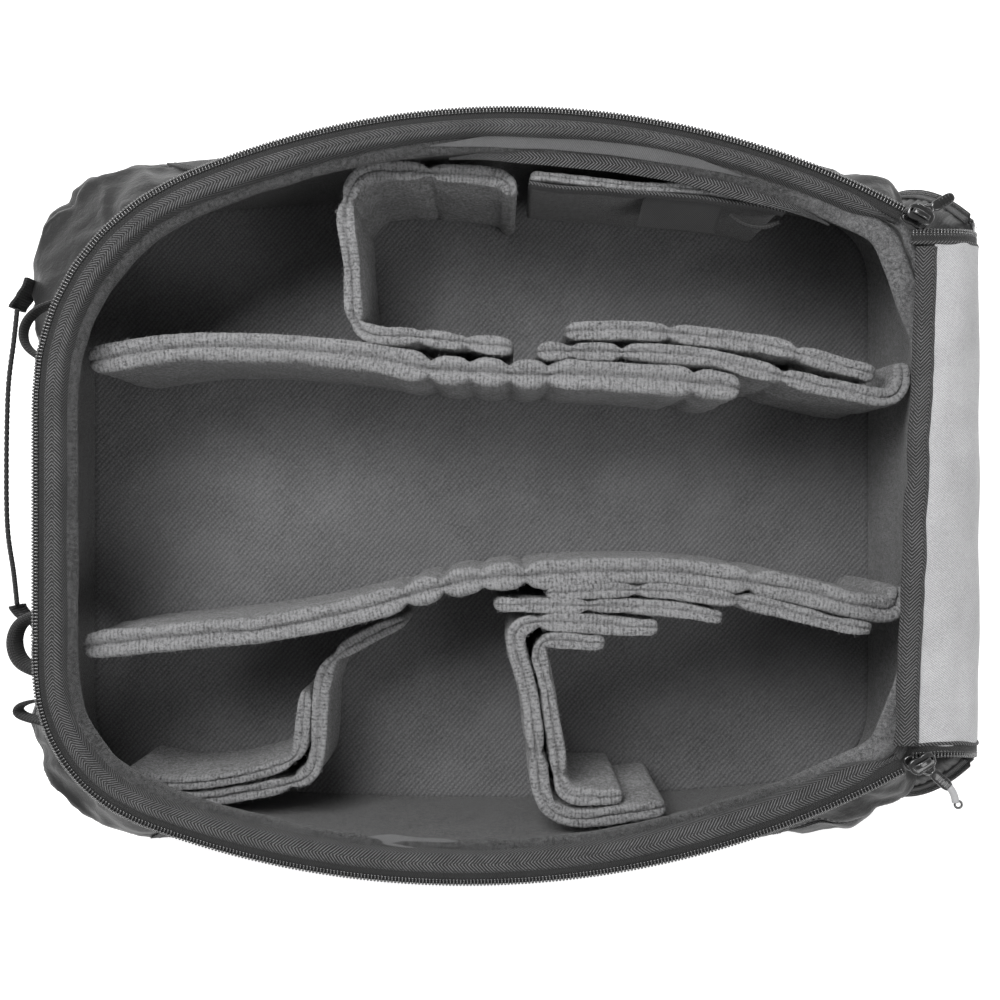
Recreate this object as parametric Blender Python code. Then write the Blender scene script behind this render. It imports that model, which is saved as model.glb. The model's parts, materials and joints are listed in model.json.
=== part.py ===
"""Camera backpack lying on its back, opened flat, with its padded dividers in place.

Metres, +Z up. The bag lies with its length along X: the lid is hinged at the +X end and the carry handle is at
the -X end. The origin is on the floor under the middle of the opening.
"""

import math

import bmesh
import bpy
from mathutils import Matrix, Vector

# ---- driving dimensions -------------------------------------------------------------------------------------
GAP = 0.0003                # clearance kept between touching pieces
WALL_GAP = 0.0006           # the same between the curved layers of the wall
UNDERSIDE = 0.0123          # lowest face of the shell, just above the tucked lid
FLOOR_TOP = 0.0260          # upper face of the fleece floor
SKIN = 0.0007               # outer nylon
PAD = 0.0107                # foam inside the walls
LINING = 0.0015             # fleece on the inside of the walls
BULGE_Z = 0.090             # the walls are widest from the floor to here
NECK_Z = 0.150              # above here the walls stand straight under the zip
SHELL_TOP = 0.1745
PAD_TOP = 0.1670
DIVIDER_TOP = 0.148
LOW_DIVIDER_TOP = 0.110

# plan of the opening (the outer edge of the zip) and of the bag at its widest
OPENING = {
    "left": -0.252, "right": 0.226,
    "upper": (0.0055, -0.235, 0.447), "lower": (-0.0185, 0.2855, 0.493),
    "radii": (0.014, 0.130, 0.088, 0.014),
}
BODY = {
    "left": -0.278, "right": 0.254,
    "upper": (-0.012, -1.790, 2.000), "lower": (-0.012, 1.792, 2.000),
    "radii": (0.055, 0.060, 0.062, 0.060),
}
SMALLEST_CORNER = 0.004
HINGE_FLARE = 0.020         # under the hinge strip the end wall stands this far outside the opening's outline
FLARE_RAMP = 0.2            # share of the hinge end that the flare takes to build up from each corner
SIDE_STEPS = 10             # samples along each long stretch of an outline, and round each corner
CORNER_STEPS = 6
ZIP_STEPS = 22              # the zip is sampled more finely, so that its sliders run clear

# zip: chain at the outer edge, tape inside it, bound edge of the lining inside that
CHAIN_WIDTH = 0.0045
TAPE_INSET = (0.0048, 0.0200)
BINDING_INSET = (0.0127, 0.0243)
CHAIN_Z = (0.1738, 0.1776)
TAPE_Z = (0.1749, 0.1763)
BINDING_Z = (0.1676, 0.1745)
CHAIN_SPAN = (0.0, 5.0)     # from the upper hinge corner round the far end to the lower hinge corner

# lid: a short panel hanging at the hinge end and a long one tucked under the bag
LID_THICK = 0.012
LID_PLANE_X = 0.2615        # middle plane of the hanging panel
LID_TOP_Z = 0.150
LID_BOTTOM_Z = 0.015
LID_AXIS = (0.250, 0.1975)  # x and z of the axis the lid opens about
FOLD_RADIUS = 0.008
FOLD_AXIS = (LID_PLANE_X - FOLD_RADIUS, LID_THICK / 2 + FOLD_RADIUS)
FAR_START_X = FOLD_AXIS[0] - 0.001
LID_INSET = 0.010           # the closed lid lies this far inside the zip line
LID_CHAIN_INSET = (0.0052, 0.0097)
LID_CHAIN_THICK = 0.004
LID_LINING = 0.0010

# zip sliders, parked at the hinge end
SLIDER_LENGTH = 0.0150
SLIDER_INNER = 0.0070
SLIDER_OUTER = -0.0030
SLIDER_WALL = 0.0018
SLIDER_CLEAR = 0.0005
PARKED_UPPER = 60.5         # angle of each slider about the centre of its zip arc, degrees
PARKED_LOWER = -60.2
PULL_LENGTH = 0.022
PULL_WIDTH = 0.0070
PULL_THICK = 0.0016
BAIL_RISE = 0.0042
BAIL_WIRE = 0.0012
UPPER_PULL_HEADING = 32.0   # direction each pull lies in, degrees from +X
LOWER_PULL_HEADING = -42.0

DIVIDER_BOTTOM = FLOOR_TOP + GAP

NYLON = ("nylon", (0.055, 0.055, 0.058), 0.62, 0.0)
FOAM = ("foam", (0.09, 0.09, 0.095), 0.95, 0.0)
BOARD = ("board", (0.03, 0.03, 0.03), 0.55, 0.0)
FLEECE = ("fleece", (0.235, 0.235, 0.24), 0.95, 0.0)
DARK_FLEECE = ("dark_fleece", (0.03, 0.03, 0.032), 0.95, 0.0)
WEBBING = ("webbing", (0.035, 0.035, 0.037), 0.8, 0.0)
CHAIN = ("zip_teeth", (0.012, 0.012, 0.013), 0.3, 0.0)
METAL = ("slider_metal", (0.03, 0.03, 0.032), 0.35, 0.9)
TWILL = ("lid_lining", (0.50, 0.50, 0.51), 0.7, 0.0)


# ---- helpers --------------------------------------------------------------------------------------------------
def clear_scene():
    for obj in list(bpy.data.objects):
        bpy.data.objects.remove(obj, do_unlink=True)


def material(finish):
    name, colour, roughness, metallic = finish
    found = bpy.data.materials.get(name)
    if found:
        return found
    made = bpy.data.materials.new(name)
    made.use_nodes = True
    shader = made.node_tree.nodes["Principled BSDF"]
    shader.inputs["Base Color"].default_value = (*colour, 1.0)
    shader.inputs["Roughness"].default_value = roughness
    shader.inputs["Metallic"].default_value = metallic
    return made


def smooth(value):
    value = min(1.0, max(0.0, value))
    return value * value * (3.0 - 2.0 * value)


def mix(first, second, share):
    return tuple(a + (b - a) * share for a, b in zip(first, second))


def add_object(name, bm, finish, sharp_angle=40.0, origin=(0.0, 0.0, 0.0)):
    """Turns a bmesh in world coordinates into a named object whose origin is at the given point."""
    bmesh.ops.recalc_face_normals(bm, faces=bm.faces[:])
    bmesh.ops.translate(bm, verts=bm.verts[:], vec=-Vector(origin))
    mesh = bpy.data.meshes.new(name)
    bm.to_mesh(mesh)
    bm.free()
    mesh.materials.append(material(finish))
    mesh.shade_smooth()
    mesh.set_sharp_from_angle(angle=math.radians(sharp_angle))
    obj = bpy.data.objects.new(name, mesh)
    obj.location = origin
    bpy.context.scene.collection.objects.link(obj)
    return obj


def skin_rings(bm, rings, close_ends=True, loop=False):
    """Joins rings of equal length with quads, and caps the first and last ring unless the rings form a loop."""
    made = [[bm.verts.new(point) for point in ring] for ring in rings]
    count = len(made[0])
    pairs = list(zip(made, made[1:]))
    if loop:
        pairs.append((made[-1], made[0]))
    for low, high in pairs:
        for i in range(count):
            j = (i + 1) % count
            bm.faces.new((low[i], low[j], high[j], high[i]))
    if close_ends and not loop:
        bm.faces.new(made[0])
        bm.faces.new(made[-1])


def box_mesh(low, high):
    bm = bmesh.new()
    bmesh.ops.create_cube(bm, size=1.0)
    for vert in bm.verts:
        vert.co = [low[k] + (vert.co[k] + 0.5) * (high[k] - low[k]) for k in range(3)]
    return bm


def bevel_edges(bm, width, segments=2):
    bmesh.ops.bevel(
        bm, geom=bm.edges[:], offset=width, segments=segments, profile=0.5, affect="EDGES"
    )


def spline(points, steps):
    """Smooth curve through plan points, with the ends included."""
    padded = [points[0], *points, points[-1]]
    curve = []
    for a, b, c, d in zip(padded, padded[1:], padded[2:], padded[3:]):
        for k in range(steps):
            t = k / steps
            curve.append(tuple(
                0.5 * (2 * b[n] + (c[n] - a[n]) * t + (2 * a[n] - 5 * b[n] + 4 * c[n] - d[n]) * t ** 2
                       + (3 * b[n] - a[n] - 3 * c[n] + d[n]) * t ** 3)
                for n in range(len(b))
            ))
    curve.append(tuple(points[-1]))
    return curve


# ---- plan outlines ----------------------------------------------------------------------------------------------
def corner_centre(side_x, arc, radius, upper):
    """Centre of the corner round that touches an end line (already moved in by the radius) and a long side's arc."""
    reach = math.sqrt((arc[2] - radius) ** 2 - (side_x - arc[0]) ** 2)
    return side_x, arc[1] + (reach if upper else -reach)


def outline_point(form, place, inset):
    """Plan point at a place on the outline, moved in by the inset.

    Places 0-1 run along the upper side from the hinge end, 1-2 round the upper far corner, 2-3 down the far end,
    3-4 round the lower far corner, 4-5 along the lower side, 5-6 and 7-8 round the hinge corners and 6-7 up the
    hinge end.
    """
    left = form["left"] + inset
    right = form["right"] - inset
    upper = (*form["upper"][:2], form["upper"][2] - inset)
    lower = (*form["lower"][:2], form["lower"][2] - inset)
    r_tr, r_tl, r_bl, r_br = (max(radius - inset, SMALLEST_CORNER) for radius in form["radii"])
    top_right = corner_centre(right - r_tr, upper, r_tr, True)
    top_left = corner_centre(left + r_tl, upper, r_tl, True)
    bottom_left = corner_centre(left + r_bl, lower, r_bl, False)
    bottom_right = corner_centre(right - r_br, lower, r_br, False)

    def bearing(centre, arc):
        return math.atan2(centre[1] - arc[1], centre[0] - arc[0]) % math.tau

    def on_circle(centre, radius, start, end, share):
        angle = start + (end - start) * share
        return centre[0] + radius * math.cos(angle), centre[1] + radius * math.sin(angle)

    a_tr, a_tl = bearing(top_right, upper), bearing(top_left, upper)
    a_bl, a_br = bearing(bottom_left, lower), bearing(bottom_right, lower)
    place %= 8.0
    section = int(place)
    share = place - section
    if section == 0:
        return on_circle(upper, upper[2], a_tr, a_tl, share)
    if section == 1:
        return on_circle(top_left, r_tl, a_tl, math.pi, share)
    if section == 2:
        return left, top_left[1] + (bottom_left[1] - top_left[1]) * share
    if section == 3:
        return on_circle(bottom_left, r_bl, math.pi, a_bl, share)
    if section == 4:
        return on_circle(lower, lower[2], a_bl, a_br, share)
    if section == 5:
        return on_circle(bottom_right, r_br, a_br, math.tau, share)
    if section == 6:
        return right, bottom_right[1] + (top_right[1] - bottom_right[1]) * share
    return on_circle(top_right, r_tr, 0.0, a_tr, share)


def places(start=0.0, end=8.0, side_steps=SIDE_STEPS):
    """Places along the outline between two limits, closer together round the corners."""
    marks = []
    for section in range(8):
        steps = CORNER_STEPS if section % 2 else side_steps
        marks.extend(section + k / steps for k in range(steps))
    inside = [mark for mark in marks if start < mark < end]
    if end - start >= 8.0:
        return [start, *inside]
    return [start, *inside, end]


def edge_inset(z):
    """How far the wall's outer face has rounded in at the floor and under the zip."""
    foot = 0.012 * (1.0 - smooth((z - UNDERSIDE) / 0.014)) ** 1.5
    brow = 0.011 * smooth((z - 0.152) / (SHELL_TOP - 0.150))
    return foot + brow


def wall_point(place, z, inset):
    neck = smooth((z - BULGE_Z) / (NECK_Z - BULGE_Z))
    total = inset + edge_inset(z)
    wide = outline_point(BODY, place, total)
    narrow_x, narrow_y = outline_point(OPENING, place, total)
    flare = HINGE_FLARE * smooth((place - 6.0) / FLARE_RAMP) * smooth((7.0 - place) / FLARE_RAMP)
    return (*mix(wide, (narrow_x + flare, narrow_y), neck), z)


def wall_levels(bottom, top):
    """Heights of the wall's rings, closer together where it curves."""
    marks = (0.0155, 0.0240, 0.090, 0.104, 0.117, 0.130, 0.145, 0.158, 0.168)
    return [bottom, *(mark for mark in marks if bottom + 0.001 < mark < top - 0.001), top]


def wall_layer(name, finish, span, heights, insets, floor_skin=0.0):
    """A layer of the wall between two places, two heights and two insets; a full turn makes a closed ring.

    With a floor skin, the ring is closed below by two floor faces that far apart, which makes a tub.
    """
    marks = places(*span)
    closed = span[1] - span[0] >= 8.0
    levels = wall_levels(*heights)
    inner_levels = [levels[0] + floor_skin, *levels[1:]]
    bm = bmesh.new()
    outer = [[bm.verts.new(wall_point(mark, z, insets[0])) for z in levels] for mark in marks]
    inner = [[bm.verts.new(wall_point(mark, z, insets[1])) for z in inner_levels] for mark in marks]
    last = len(levels) - 1
    count = len(marks)
    for j in range(count if closed else count - 1):
        n = (j + 1) % count
        for k in range(last):
            for side in (outer, inner):
                bm.faces.new((side[j][k], side[n][k], side[n][k + 1]))
                bm.faces.new((side[j][k], side[n][k + 1], side[j][k + 1]))
        bm.faces.new((outer[j][last], outer[n][last], inner[n][last], inner[j][last]))
        if not floor_skin:
            bm.faces.new((outer[j][0], outer[n][0], inner[n][0], inner[j][0]))
    if floor_skin:
        bm.faces.new([column[0] for column in outer])
        bm.faces.new([column[0] for column in inner])
    if not closed:
        for j in (0, count - 1):
            for k in range(last):
                bm.faces.new((outer[j][k], outer[j][k + 1], inner[j][k + 1], inner[j][k]))
    return add_object(name, bm, finish)


def band(name, finish, form, span, insets, heights, shift=(0.0, 0.0)):
    """A flat band that follows an outline in plan."""
    bm = bmesh.new()
    rings = []
    for mark in places(*span, side_steps=ZIP_STEPS):
        outer = Vector(outline_point(form, mark, insets[0])) + Vector(shift)
        inner = Vector(outline_point(form, mark, insets[1])) + Vector(shift)
        rings.append([
            (*outer, heights[0]), (*outer, heights[1]), (*inner, heights[1]), (*inner, heights[0]),
        ])
    skin_rings(bm, rings, loop=span[1] - span[0] >= 8.0)
    return add_object(name, bm, finish)


# ---- shell, floor and walls -------------------------------------------------------------------------------------
def outer_shell():
    """The nylon tub: up the outside to the zip, and down again inside to its own floor."""
    return wall_layer("outer_shell", NYLON, (0.0, 8.0), (UNDERSIDE, SHELL_TOP), (0.0, SKIN), floor_skin=SKIN)


def floor_plate(name, finish, z_low, z_high, inset):
    bm = bmesh.new()
    outline = [outline_point(BODY, mark, inset) for mark in places()]
    skin_rings(bm, [[(x, y, z) for x, y in outline] for z in (z_low, z_high)])
    return add_object(name, bm, finish)


def floor_layers():
    board_low = UNDERSIDE + SKIN + GAP
    board_high = board_low + 0.0015
    pad_high = 0.0240
    floor_plate("base_board", BOARD, board_low, board_high, 0.014)
    floor_plate("floor_pad", FOAM, board_high + GAP, pad_high, 0.0115)
    floor_plate("floor_lining", FLEECE, pad_high + GAP, FLOOR_TOP, SKIN + PAD + 2 * WALL_GAP + 0.001)


def wall_pads():
    """Foam panels behind the lining: one on each long side, one at each end, and one in each far corner."""
    insets = (SKIN + WALL_GAP, SKIN + WALL_GAP + PAD)
    heights = (0.0240 + GAP, PAD_TOP)
    joint = 0.004
    far_joints = (0.9, 2.0, 3.0, 4.1)
    spans = {
        "upper_side_pad": (joint, far_joints[0] - joint),
        "upper_corner_pad": (far_joints[0] + joint, far_joints[1] - 3 * joint),
        "far_end_pad": (far_joints[1], far_joints[2]),
        "lower_corner_pad": (far_joints[2] + 3 * joint, far_joints[3] - joint),
        "lower_side_pad": (far_joints[3] + joint, 5.0 - joint),
        "hinge_end_pad": (5.0 + joint, 8.0 - joint),
    }
    for name, span in spans.items():
        wall_layer(name, FOAM, span, heights, insets)


def wall_lining():
    outer = SKIN + PAD + 2 * WALL_GAP
    wall_layer("wall_lining", DARK_FLEECE, (0.0, 8.0), (FLOOR_TOP + GAP, PAD_TOP), (outer, outer + LINING))


def zip_of_bag():
    start, end = CHAIN_SPAN
    band("zip_chain", CHAIN, OPENING, (start, end), (0.0, CHAIN_WIDTH), CHAIN_Z)
    band("zip_tape", WEBBING, OPENING, (start, end), TAPE_INSET, TAPE_Z)
    band("rim_binding", WEBBING, OPENING, (start + 0.03, end - 0.03), BINDING_INSET, BINDING_Z)


def hinge_fabric():
    """The bound fold of cloth at the hinge end, in a part on the bag and a part on the lid."""
    half_low, half_high = -0.1335, 0.1400
    strip = box_mesh((0.2045, -0.1280, 0.1749), (0.2290, 0.1335, 0.1785))
    bevel_edges(strip, 0.0010, 1)
    add_object("hinge_binding", strip, WEBBING)
    centre = (0.2360, 0.1480)
    for name, start, end, finish in (
        ("hinge_web", 52.0, 101.0, TWILL), ("lid_hinge_roll", 7.0, 50.0, TWILL),
    ):
        bm = bmesh.new()
        rings = []
        for k in range(7):
            angle = math.radians(start + (end - start) * k / 6)
            ring = []
            for radius, y in ((0.0285, half_low), (0.0285, half_high), (0.0305, half_high), (0.0305, half_low)):
                ring.append((centre[0] + radius * math.cos(angle), y, centre[1] + radius * math.sin(angle)))
            rings.append(ring)
        skin_rings(bm, rings)
        add_object(name, bm, finish)


def back_pads():
    """Two harness-side cushions at the far end; they hold that end level with the tucked lid."""
    for name, low_y, high_y in (("back_pad_upper", 0.014, 0.180), ("back_pad_lower", -0.180, -0.014)):
        pad = box_mesh((-0.256, low_y, 0.0), (-0.066, high_y, UNDERSIDE - GAP))
        bevel_edges(pad, 0.0040, 2)
        add_object(name, pad, FOAM)


# ---- dividers ---------------------------------------------------------------------------------------------------
def divider(name, path, thickness, top=DIVIDER_TOP, bottom=DIVIDER_BOTTOM, finish=FLEECE, steps=4):
    """A padded wall that follows a plan path; its upper edge is rounded over."""
    curve = spline(path, steps)
    half = thickness / 2
    shoulder = 0.30 * thickness
    section = (
        (half, bottom), (half, top - shoulder), (half * 0.55, top), (-half * 0.55, top),
        (-half, top - shoulder), (-half, bottom),
    )
    rings = []
    for k, (x, y) in enumerate(curve):
        ahead = Vector(curve[min(k + 1, len(curve) - 1)]) - Vector(curve[max(k - 1, 0)])
        side = Vector((-ahead.y, ahead.x)).normalized()
        rings.append([(x + side.x * offset, y + side.y * offset, z) for offset, z in section])
    bm = bmesh.new()
    skin_rings(bm, rings)
    return add_object(name, bm, finish)


def dividers():
    divider("upper_long_divider", (
        (-0.2325, 0.0774), (-0.168, 0.086), (-0.090, 0.082), (-0.034, 0.073), (0.040, 0.070),
        (0.100, 0.067), (0.136, 0.062),
    ), 0.0145)
    divider("upper_divider_flap", (
        (0.020, 0.083), (0.040, 0.084), (0.078, 0.083), (0.112, 0.080), (0.150, 0.0715), (0.190, 0.0615),
        (0.2180, 0.0570), (0.2258, 0.0650), (0.2256, 0.0780),
    ), 0.009)
    divider("upper_divider_tail", (
        (0.036, 0.0945), (0.070, 0.0955), (0.110, 0.0925), (0.150, 0.0865), (0.186, 0.0765), (0.2120, 0.0695),
    ), 0.009)
    divider("lower_long_divider", (
        (-0.236, -0.083), (-0.140, -0.073), (-0.084, -0.063), (-0.039, -0.050), (0.007, -0.043),
        (0.070, -0.0405), (0.119, -0.043), (0.175, -0.053), (0.205, -0.0600), (0.2215, -0.0610),
        (0.2242, -0.0480),
    ), 0.012)
    divider("lower_divider_flap", (
        (0.025, -0.0521), (0.063, -0.0511), (0.100, -0.0526), (0.137, -0.0576), (0.170, -0.0646), (0.210, -0.0730),
    ), 0.007)
    divider("lower_divider_tail", (
        (-0.004, -0.0588), (0.045, -0.0596), (0.093, -0.0616), (0.126, -0.0661),
    ), 0.007)
    divider("upper_cross_divider", (
        (0.006, 0.170), (0.002, 0.180), (-0.028, 0.184), (-0.070, 0.184), (-0.082, 0.176), (-0.086, 0.160),
        (-0.083, 0.125), (-0.081, 0.104), (-0.074, 0.094), (-0.052, 0.0915), (-0.020, 0.0885), (0.008, 0.0850),
    ), 0.009, steps=3)
    divider("lower_left_divider", (
        (-0.224, -0.1700), (-0.196, -0.1765), (-0.152, -0.1730), (-0.119, -0.1660), (-0.109, -0.1560),
        (-0.107, -0.132), (-0.105, -0.110), (-0.098, -0.094), (-0.078, -0.081), (-0.056, -0.0710),
    ), 0.008, top=LOW_DIVIDER_TOP, steps=3)
    divider("lower_left_lining", (
        (-0.222, -0.1605), (-0.196, -0.1665), (-0.158, -0.1635), (-0.129, -0.1560), (-0.1190, -0.149),
        (-0.1165, -0.132), (-0.1145, -0.112),
    ), 0.007, top=LOW_DIVIDER_TOP, steps=3)
    divider("lower_right_divider", (
        (0.090, -0.0715), (0.030, -0.0685), (0.012, -0.0710), (0.0085, -0.080), (0.016, -0.108), (0.021, -0.144),
        (0.0235, -0.165), (0.032, -0.1760), (0.052, -0.1790), (0.094, -0.1720),
    ), 0.009, steps=3)
    divider("lower_right_lining", (
        (0.060, -0.0805), (0.032, -0.0785), (0.0215, -0.0830), (0.0270, -0.108), (0.0320, -0.142), (0.0340, -0.158),
        (0.0410, -0.1665), (0.070, -0.1665),
    ), 0.008, steps=3)


def side_pocket():
    """A fleece pocket on the upper wall, with a bound edge, a pull tab and a webbing loop."""
    path = ((0.016, 0.1795), (0.040, 0.1770), (0.080, 0.1740), (0.125, 0.1700), (0.158, 0.1640))
    divider("side_pocket", path, 0.005, top=0.158, bottom=0.050)
    edge = tuple((x, y - 0.0043) for x, y in path)
    divider("pocket_binding", edge, 0.003, top=0.158, bottom=0.146, finish=WEBBING)
    tab = tuple((x, y - 0.0075) for x, y in path[2:4])
    divider("pocket_tab", tab, 0.0022, top=0.152, bottom=0.120, finish=DARK_FLEECE)
    divider("pocket_loop", (
        (0.1290, 0.1600), (0.1330, 0.1560), (0.1420, 0.1530), (0.1500, 0.1530), (0.1550, 0.1560),
    ), 0.0022, top=0.152, bottom=0.140, finish=WEBBING)


# ---- straps and loops on the outside ---------------------------------------------------------------------------
def strap(name, path, width, thickness, middle_z, finish=WEBBING, origin=(0.0, 0.0, 0.0), steps=4):
    """A flat strap standing on edge: it follows a plan path, with its width upright."""
    curve = spline(path, steps)
    rings = []
    for k, (x, y) in enumerate(curve):
        ahead = Vector(curve[min(k + 1, len(curve) - 1)]) - Vector(curve[max(k - 1, 0)])
        side = Vector((-ahead.y, ahead.x)).normalized() * thickness / 2
        low, high = middle_z - width / 2, middle_z + width / 2
        rings.append([
            (x + side.x, y + side.y, low), (x + side.x, y + side.y, high),
            (x - side.x, y - side.y, high), (x - side.x, y - side.y, low),
        ])
    bm = bmesh.new()
    skin_rings(bm, rings)
    return add_object(name, bm, finish, origin=origin)


HANDLE_Z = 0.1120
HANDLE_ENDS = (0.120, -0.070)
HANDLE_X = -0.2830


def far_end_straps():
    upper_y, lower_y = HANDLE_ENDS
    strap("carry_handle", (
        (HANDLE_X, upper_y - 0.009), (HANDLE_X - 0.0020, upper_y - 0.028), (HANDLE_X - 0.0055, 0.060),
        (HANDLE_X - 0.0060, -0.010), (HANDLE_X - 0.0020, lower_y + 0.028), (HANDLE_X, lower_y + 0.009),
    ), 0.025, 0.0028, HANDLE_Z, origin=(HANDLE_X, (upper_y + lower_y) / 2, HANDLE_Z))
    for name, y in (("handle_anchor_upper", upper_y), ("handle_anchor_lower", lower_y)):
        anchor = box_mesh((HANDLE_X - 0.0018, y - 0.0085, 0.100), (HANDLE_X + 0.0060, y + 0.0085, 0.124))
        bevel_edges(anchor, 0.0008, 1)
        add_object(name, anchor, WEBBING)
    strap("haul_loop_upper", (
        (-0.2432, 0.1095), (-0.2560, 0.1050), (-0.2635, 0.0950), (-0.2620, 0.0845), (-0.2530, 0.0780),
    ), 0.010, 0.0028, 0.157)
    strap("haul_loop_lower", (
        (-0.2553, -0.0635), (-0.2650, -0.0675), (-0.2690, -0.0785), (-0.2650, -0.0900), (-0.2553, -0.0945),
    ), 0.016, 0.0042, 0.156)
    strap("side_tab", (
        (-0.2525, -0.1105), (-0.2655, -0.1130), (-0.2670, -0.1185), (-0.2490, -0.1235),
    ), 0.012, 0.0020, 0.156)


def side_webbing():
    """Flat webbing sewn up the outside of the long walls, where the compression straps start."""
    insets = (-WALL_GAP - 0.0018, -WALL_GAP - 0.0002)
    for name, span, heights in (
        ("webbing_upper_far", (0.860, 0.950), (0.030, 0.1480)),
        ("webbing_upper_near", (0.120, 0.180), (0.030, 0.1480)),
        ("webbing_lower_far", (4.030, 4.120), (0.030, 0.1480)),
        ("webbing_lower_mid", (4.700, 4.800), (0.030, 0.1420)),
        ("webbing_lower_near", (4.830, 4.930), (0.030, 0.1360)),
    ):
        wall_layer(name, WEBBING, span, heights, insets)


# ---- lid --------------------------------------------------------------------------------------------------------
def lid_edges(closed_x, inset):
    """Y of the lid's two long edges where the closed lid reaches this x."""
    upper, lower = OPENING["upper"], OPENING["lower"]
    high = upper[1] + math.sqrt((upper[2] - inset) ** 2 - (closed_x - upper[0]) ** 2)
    low = lower[1] - math.sqrt((lower[2] - inset) ** 2 - (closed_x - lower[0]) ** 2)
    return low, high


def closed_x_of_height(z):
    """X that a height on the hanging panel has once the lid is shut."""
    return LID_AXIS[0] + z - LID_AXIS[1]


def hanging_heights():
    steps = 8
    return [LID_TOP_Z + (LID_BOTTOM_Z - LID_TOP_Z) * k / steps for k in range(steps + 1)]


def lid_near():
    """The panel next to the hinge, hanging outside the end wall, with its lining and the ends of its zip."""
    inner_x = LID_PLANE_X - LID_THICK / 2
    outer_x = LID_PLANE_X + LID_THICK / 2
    for name, finish, low_x, high_x in (
        ("lid_near_panel", NYLON, inner_x, outer_x - LID_LINING - GAP),
        ("lid_near_lining", TWILL, outer_x - LID_LINING, outer_x),
    ):
        bm = bmesh.new()
        rings = []
        for z in hanging_heights():
            low, high = lid_edges(closed_x_of_height(z), LID_INSET)
            rings.append([(low_x, low, z), (high_x, low, z), (high_x, high, z), (low_x, high, z)])
        skin_rings(bm, rings)
        add_object(name, bm, finish)
    for name, side in (("lid_near_zip_upper", 1), ("lid_near_zip_lower", 0)):
        bm = bmesh.new()
        rings = []
        for z in hanging_heights():
            closed_x = closed_x_of_height(z)
            outer = lid_edges(closed_x, LID_CHAIN_INSET[0])[side]
            inner = lid_edges(closed_x, LID_CHAIN_INSET[1])[side]
            low_x = LID_PLANE_X - LID_CHAIN_THICK / 2
            high_x = LID_PLANE_X + LID_CHAIN_THICK / 2
            rings.append([(low_x, inner, z), (high_x, inner, z), (high_x, outer, z), (low_x, outer, z)])
        skin_rings(bm, rings)
        add_object(name, bm, CHAIN)


def far_span(fold_x, inset):
    """Places on the outline where it crosses the lid's fold line, on the upper and on the lower side."""
    found = []
    for low, high in ((0.0, 1.0), (5.0, 4.0)):
        for _ in range(40):
            middle = (low + high) / 2
            if outline_point(OPENING, middle, inset)[0] > fold_x:
                low = middle
            else:
                high = middle
        found.append(low)
    return found


def lid_far():
    """The panel tucked under the bag. It is the far end of the opening's outline, moved along X."""
    fold_x = closed_x_of_height(LID_BOTTOM_Z) - 0.002
    shift = FAR_START_X - fold_x
    span = far_span(fold_x, LID_INSET)
    outline = [outline_point(OPENING, mark, LID_INSET) for mark in places(*span)]
    for name, finish, low_z, high_z in (
        ("lid_far_panel", NYLON, LID_LINING + GAP, LID_THICK),
        ("lid_far_lining", TWILL, 0.0, LID_LINING),
    ):
        bm = bmesh.new()
        skin_rings(bm, [[(x + shift, y, z) for x, y in outline] for z in (low_z, high_z)])
        add_object(name, bm, finish)
    middle = LID_THICK / 2
    band(
        "lid_far_zip", CHAIN, OPENING, far_span(fold_x, LID_CHAIN_INSET[0]), LID_CHAIN_INSET,
        (middle - LID_CHAIN_THICK / 2, middle + LID_CHAIN_THICK / 2), (shift, 0.0),
    )


# ---- zip sliders ------------------------------------------------------------------------------------------------
def arc_frame(arc, angle):
    """Where a slider sits: along the chain, outwards across it, up, with the origin on the zip's outer edge."""
    out = Vector((math.cos(angle), math.sin(angle), 0.0))
    along = Vector((-out.y, out.x, 0.0))
    frame = Matrix.Identity(4)
    for column, axis in enumerate((along, out, Vector((0.0, 0.0, 1.0)))):
        frame.col[column] = (*axis, 0.0)
    frame.col[3] = (arc[0] + arc[2] * out.x, arc[1] + arc[2] * out.y, 0.0, 1.0)
    return frame


def slider(name, arc, angle, heading):
    """A C-shaped slider: a plate over the chain, a plate under it, and the wall outside that joins them."""
    half = SLIDER_LENGTH / 2
    low = CHAIN_Z[0] - SLIDER_CLEAR - SLIDER_WALL
    high = CHAIN_Z[1] + SLIDER_CLEAR + SLIDER_WALL
    section = (
        (-SLIDER_OUTER, low), (-SLIDER_OUTER, high), (-SLIDER_INNER, high), (-SLIDER_INNER, high - SLIDER_WALL),
        (SLIDER_CLEAR, high - SLIDER_WALL), (SLIDER_CLEAR, low + SLIDER_WALL), (-SLIDER_INNER, low + SLIDER_WALL),
        (-SLIDER_INNER, low),
    )
    frame = arc_frame(arc, angle)
    bm = bmesh.new()
    rings = [[frame @ Vector((along, out, z)) for out, z in section] for along in (-half, half)]
    skin_rings(bm, rings)
    body = add_object(name, bm, METAL, origin=(arc[0], arc[1], 0.0))
    centre = frame @ Vector((0.0, -0.0020, 0.0))
    bail = bail_mesh(centre, high - 0.0004, heading)
    join(body, bail)
    return centre, high


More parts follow.
